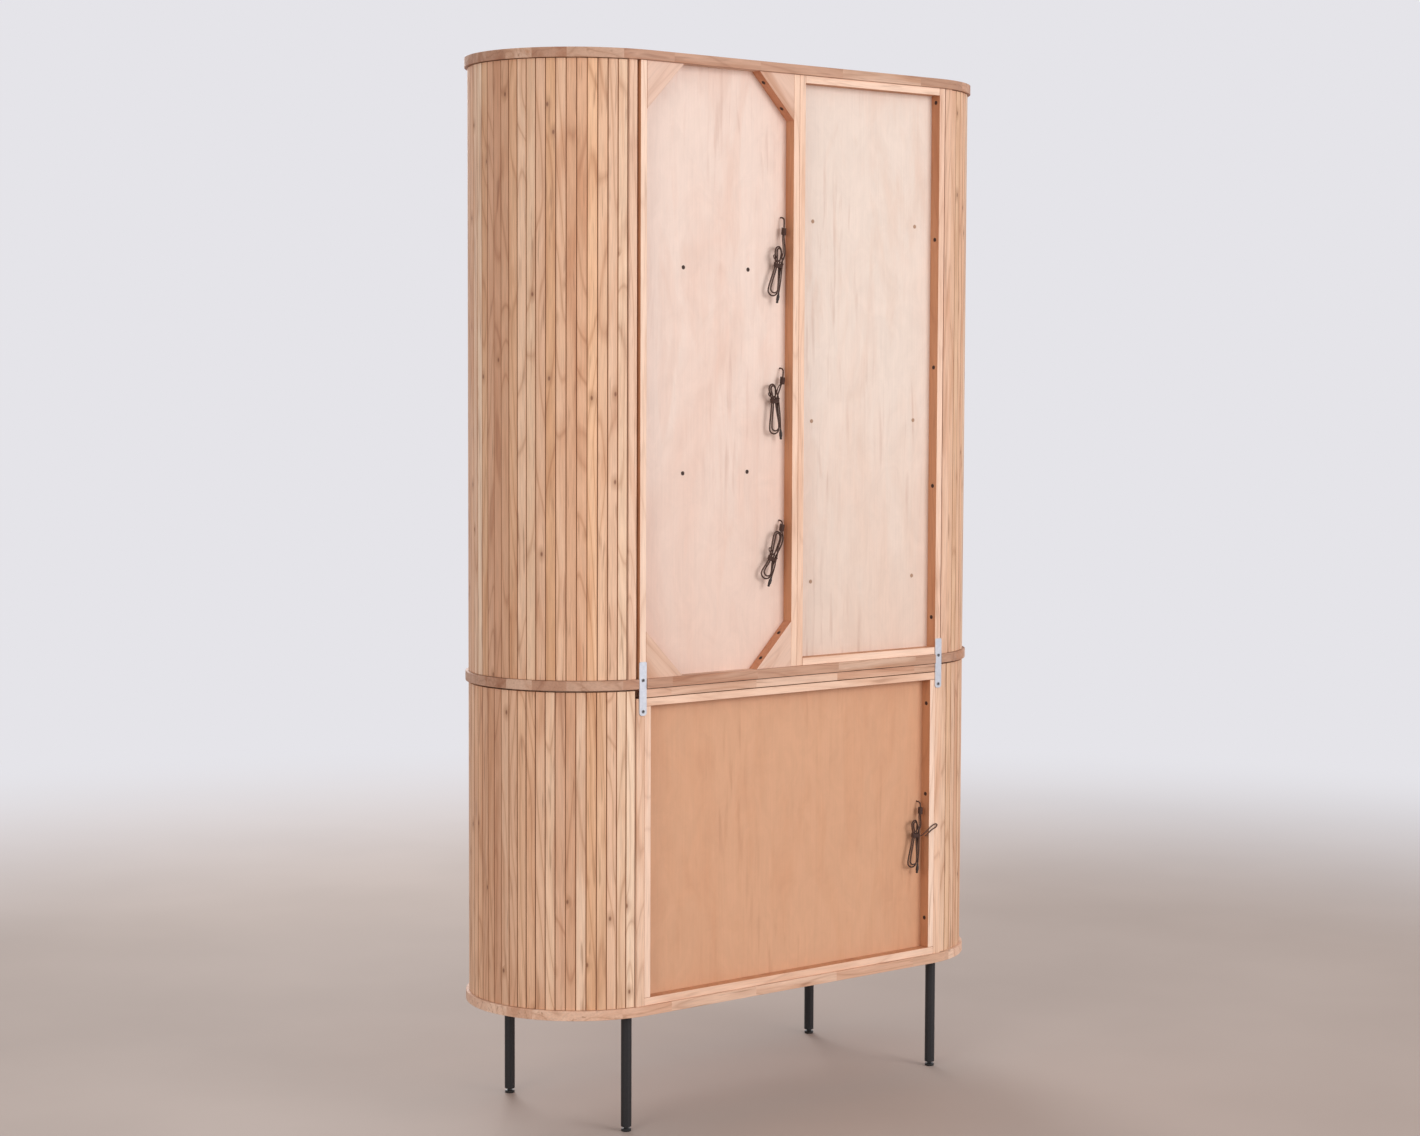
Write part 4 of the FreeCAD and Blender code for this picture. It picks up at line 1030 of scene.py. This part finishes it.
def make_screws():
    """Screw heads, each turned by chance about its own axis."""
    for node, radius, rim, finish in SCREW_KINDS:
        whole = bmesh.new()
        head = screw_mesh(node, radius, rim)
        pattern = bpy.data.meshes.new(node + "_pattern")
        head.to_mesh(pattern)
        head.free()
        dice = random.Random(RANDOM_SEED)
        for spot, normal in heads_of(node):
            turn = normal.to_track_quat("Z", "Y").to_matrix().to_4x4()
            spin = Matrix.Rotation(dice.uniform(0, math.pi / 2), 4, "Z")
            verts, faces = len(whole.verts), len(whole.faces)
            whole.from_mesh(pattern)
            whole.verts.ensure_lookup_table()
            whole.faces.ensure_lookup_table()
            matrix = Matrix.Translation(spot) @ turn @ spin
            bmesh.ops.transform(whole, matrix=matrix, verts=whole.verts[verts:])
            if normal.y > FACING and spot.x < PALE_HEADS[0] and spot.z > PALE_HEADS[1]:
                for face in whole.faces[faces:]:
                    face.material_index = 2
        new_piece(node + "_heads", whole, [finish, "recess", "pale_screw"], node)


PLATE_WIDTH = 17.0
PLATE_EDGE = 0.3
PLATE_ROUNDINGS = (6.0, 3.0)


def make_plates():
    low, high = (Vector(corner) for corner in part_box("joining_plates"))
    outline = rounded(PLATE_WIDTH, (high.z - low.z) / MM, *PLATE_ROUNDINGS)
    mesh = cut_sheet("joining_plate", [outline], (high.y - low.y) / MM, PLATE_EDGE)
    upright = Matrix.Rotation(math.radians(90), 4, "X")
    half = PLATE_WIDTH / 2 * MM
    whole = bmesh.new()
    for x in (low.x + half, high.x - half):
        before = len(whole.verts)
        whole.from_mesh(mesh)
        whole.verts.ensure_lookup_table()
        spot = Matrix.Translation((x, (low.y + high.y) / 2, (low.z + high.z) / 2))
        bmesh.ops.transform(whole, matrix=spot @ upright, verts=whole.verts[before:])
    new_piece("joining_plates_cut", whole, ["zinc"], "joining_plates")


LEG_SPOTS = [(x, y) for y in (-184, 184) for x in (-397, 397)]
FOOT_NAMES = ("front_left_foot", "front_right_foot", "rear_left_foot", "rear_right_foot")
# Radius and height of each ring, from the top.
LEG_PROFILE = [
    (4.9, 227.0), (5.0, 220.0), (9.6, 219.9), (10.0, 219.4), (10.0, 9.8), (9.4, 9.0), (4.6, 9.0)]
FOOT_PROFILE = [
    (0.0, 8.0), (4.4, 8.0), (4.6, 7.4), (4.6, 5.4), (8.9, 5.0), (9.5, 4.4), (9.5, 1.2),
    (8.7, 0.0), (0.0, 0.0)]
LEG_STEPS = 40
# The threaded stud of a foot, from its tip down.
STUD_STEPS = 24
STUD_TIP = 40.0
THREAD_TOP = 39.6
THREAD_LENGTH = 33.0
THREAD_PITCH = 1.25
THREAD_ROOT = 3.4
THREAD_CREST = 3.95


def make_legs():
    whole = bmesh.new()
    for x, y in LEG_SPOTS:
        before = len(whole.verts)
        lathe(whole, LEG_PROFILE, LEG_STEPS)
        whole.verts.ensure_lookup_table()
        bmesh.ops.translate(whole, vec=Vector((x, y, 0)) * MM, verts=whole.verts[before:])
    made = new_piece("legs_turned", whole, ["leg"], "legs")
    smooth(made)
    for name, (x, y) in zip(FOOT_NAMES, LEG_SPOTS):
        make_foot(name, x, y)


def make_foot(name, x, y):
    """A round pad with a short hub, and the threaded stud that goes up into the leg."""
    shape = bmesh.new()
    lathe(shape, FOOT_PROFILE, LEG_STEPS)
    pad = set(shape.faces)
    profile = [(0.0, STUD_TIP)]
    turns = int(THREAD_LENGTH / THREAD_PITCH)
    for k in range(turns):
        top = THREAD_TOP - k * THREAD_PITCH
        profile += [(THREAD_ROOT, top), (THREAD_CREST, top - THREAD_PITCH / 2)]
    profile.append((0.0, THREAD_TOP - turns * THREAD_PITCH))
    lathe(shape, profile, STUD_STEPS)
    for face in shape.faces:
        if face not in pad:
            face.material_index = 1
    bmesh.ops.translate(shape, vec=Vector((x, y, 0)) * MM, verts=shape.verts)
    made = new_piece(name + "_turned", shape, ["foot", "stud"], name)
    smooth(made)


# ---------------------------------------- door fittings and lights

def make_fittings():
    for unit in ("upper", "lower"):
        for hand in ("left", "right"):
            stem = f"{unit}_{hand}"
            eased(f"{stem}_door_rails", ["rail"], width=0.2)
            eased(f"{stem}_door_pull", ["pull"], width=0.5)
            eased(f"{stem}_swing_post", ["post_steel"], width=0.3)
    eased("light_bars", ["light", "diffuser"], width=0.8,
          choose=lambda face, _: 1 if face.normal.y < -FACING else 0)


def dress_panels():
    """The flat back panels are the CAD's own; they only take a finish."""
    for finish in ("right_back", "left_back", "lower_back"):
        panel = NODES[finish + "_panel"]
        panel.data.materials.clear()
        panel.data.materials.append(FINISH[finish])


# ---------------------------------------- stage

FLOOR_TONES = ((177, 161, 153), (185, 169, 161))
BACKGROUND = (229, 228, 233)
FLOOR_HALF = 40.0
# How far out the floor begins to take on the background's colour, and is wholly of it.
FADE_START = 1.9
FADE_END = 5.2
WORLD_TINT = (1.0, 0.985, 0.97, 1.0)
WORLD_STRENGTH = 0.52
# Place, width, power and tint of each lamp.
LAMPS = {
    "key": ((-1.9, 6.6, 2.9), 4.4, 235.0, (1.0, 0.982, 0.968)),
    "side": ((6.0, 2.4, 2.4), 3.0, 95.0, (1.0, 0.945, 0.88)),
    "front": ((-2.5, -5.5, 3.4), 3.0, 150.0, (1.0, 0.99, 0.98)),
}
AIM = Vector((0, 0, 1.0))


def make_lamps():
    for name, (place, size, watts, tint) in LAMPS.items():
        data = bpy.data.lights.new(name, "AREA")
        data.shape = "DISK"
        data.size = size
        data.energy = watts
        data.color = tint
        lamp = link(name, data)
        lamp.location = place
        lamp.rotation_euler = (AIM - Vector(place)).to_track_quat("-Z", "Y").to_euler()


def plain_rays(tree):
    """1 for the rays that see the plain background: those of the camera, mirrors and glass."""
    path = tree.nodes.new("ShaderNodeLightPath")
    most = path.outputs["Is Camera Ray"]
    for name in ("Is Glossy Ray", "Is Transmission Ray"):
        either = tree.nodes.new("ShaderNodeMath")
        either.operation = "MAXIMUM"
        tree.links.new(most, either.inputs[0])
        tree.links.new(path.outputs[name], either.inputs[1])
        most = either.outputs[0]
    return most


def make_floor():
    """A plain floor that keeps the shadow and fades into the background further out."""
    data = bpy.data.meshes.new("floor")
    corners = [(x * FLOOR_HALF, y * FLOOR_HALF, 0) for x, y in ((-1, -1), (1, -1), (1, 1), (-1, 1))]
    data.from_pydata(corners, [], [(0, 1, 2, 3)])
    floor = link("floor", data)
    make = Finish("floor_surface", roughness=0.7)
    place = make.place()
    cloud = make.noise(place, 1.4, detail=3.0)
    dark, light = (shade(*tone) for tone in FLOOR_TONES)
    make.colour(make.ramp(cloud, [(0.3, dark), (0.7, light)]))
    far = make.node("ShaderNodeVectorMath", {0: place}, operation="LENGTH").outputs["Value"]
    fade = make.node("ShaderNodeMapRange", {
        "Value": far, "From Min": FADE_START, "From Max": FADE_END, "To Min": 0.0, "To Max": 1.0},
        interpolation_type="SMOOTHSTEP").outputs["Result"]
    plain = make.node("ShaderNodeEmission", {"Color": shade(*BACKGROUND), "Strength": 1.0})
    share = make.math("MULTIPLY", fade, plain_rays(make.tree))
    both = make.node("ShaderNodeMixShader", {
        0: share, 1: make.shader.outputs["BSDF"], 2: plain.outputs["Emission"]})
    make.feed(make.tree.nodes["Material Output"].inputs["Surface"], both.outputs["Shader"])
    data.materials.append(make.material)


def make_world():
    world = bpy.data.worlds.new("studio")
    SCENE.world = world
    world.use_nodes = True
    tree = world.node_tree
    tree.nodes.clear()
    grounds = []
    for colour, strength in ((WORLD_TINT, WORLD_STRENGTH), (shade(*BACKGROUND), 1.0)):
        ground = tree.nodes.new("ShaderNodeBackground")
        ground.inputs["Color"].default_value = colour
        ground.inputs["Strength"].default_value = strength
        grounds.append(ground)
    both = tree.nodes.new("ShaderNodeMixShader")
    tree.links.new(plain_rays(tree), both.inputs[0])
    for ground, socket in zip(grounds, (1, 2)):
        tree.links.new(ground.outputs[0], both.inputs[socket])
    out = tree.nodes.new("ShaderNodeOutputWorld")
    tree.links.new(both.outputs[0], out.inputs["Surface"])


def make_stage():
    make_floor()
    make_world()
    make_lamps()
    SCENE.view_settings.view_transform = "Standard"


make_camera()
make_leads()
make_slats()
make_boards()
make_boxes()
make_gussets()
dress_panels()
make_plates()
make_screws()
make_legs()
make_fittings()
make_stage()
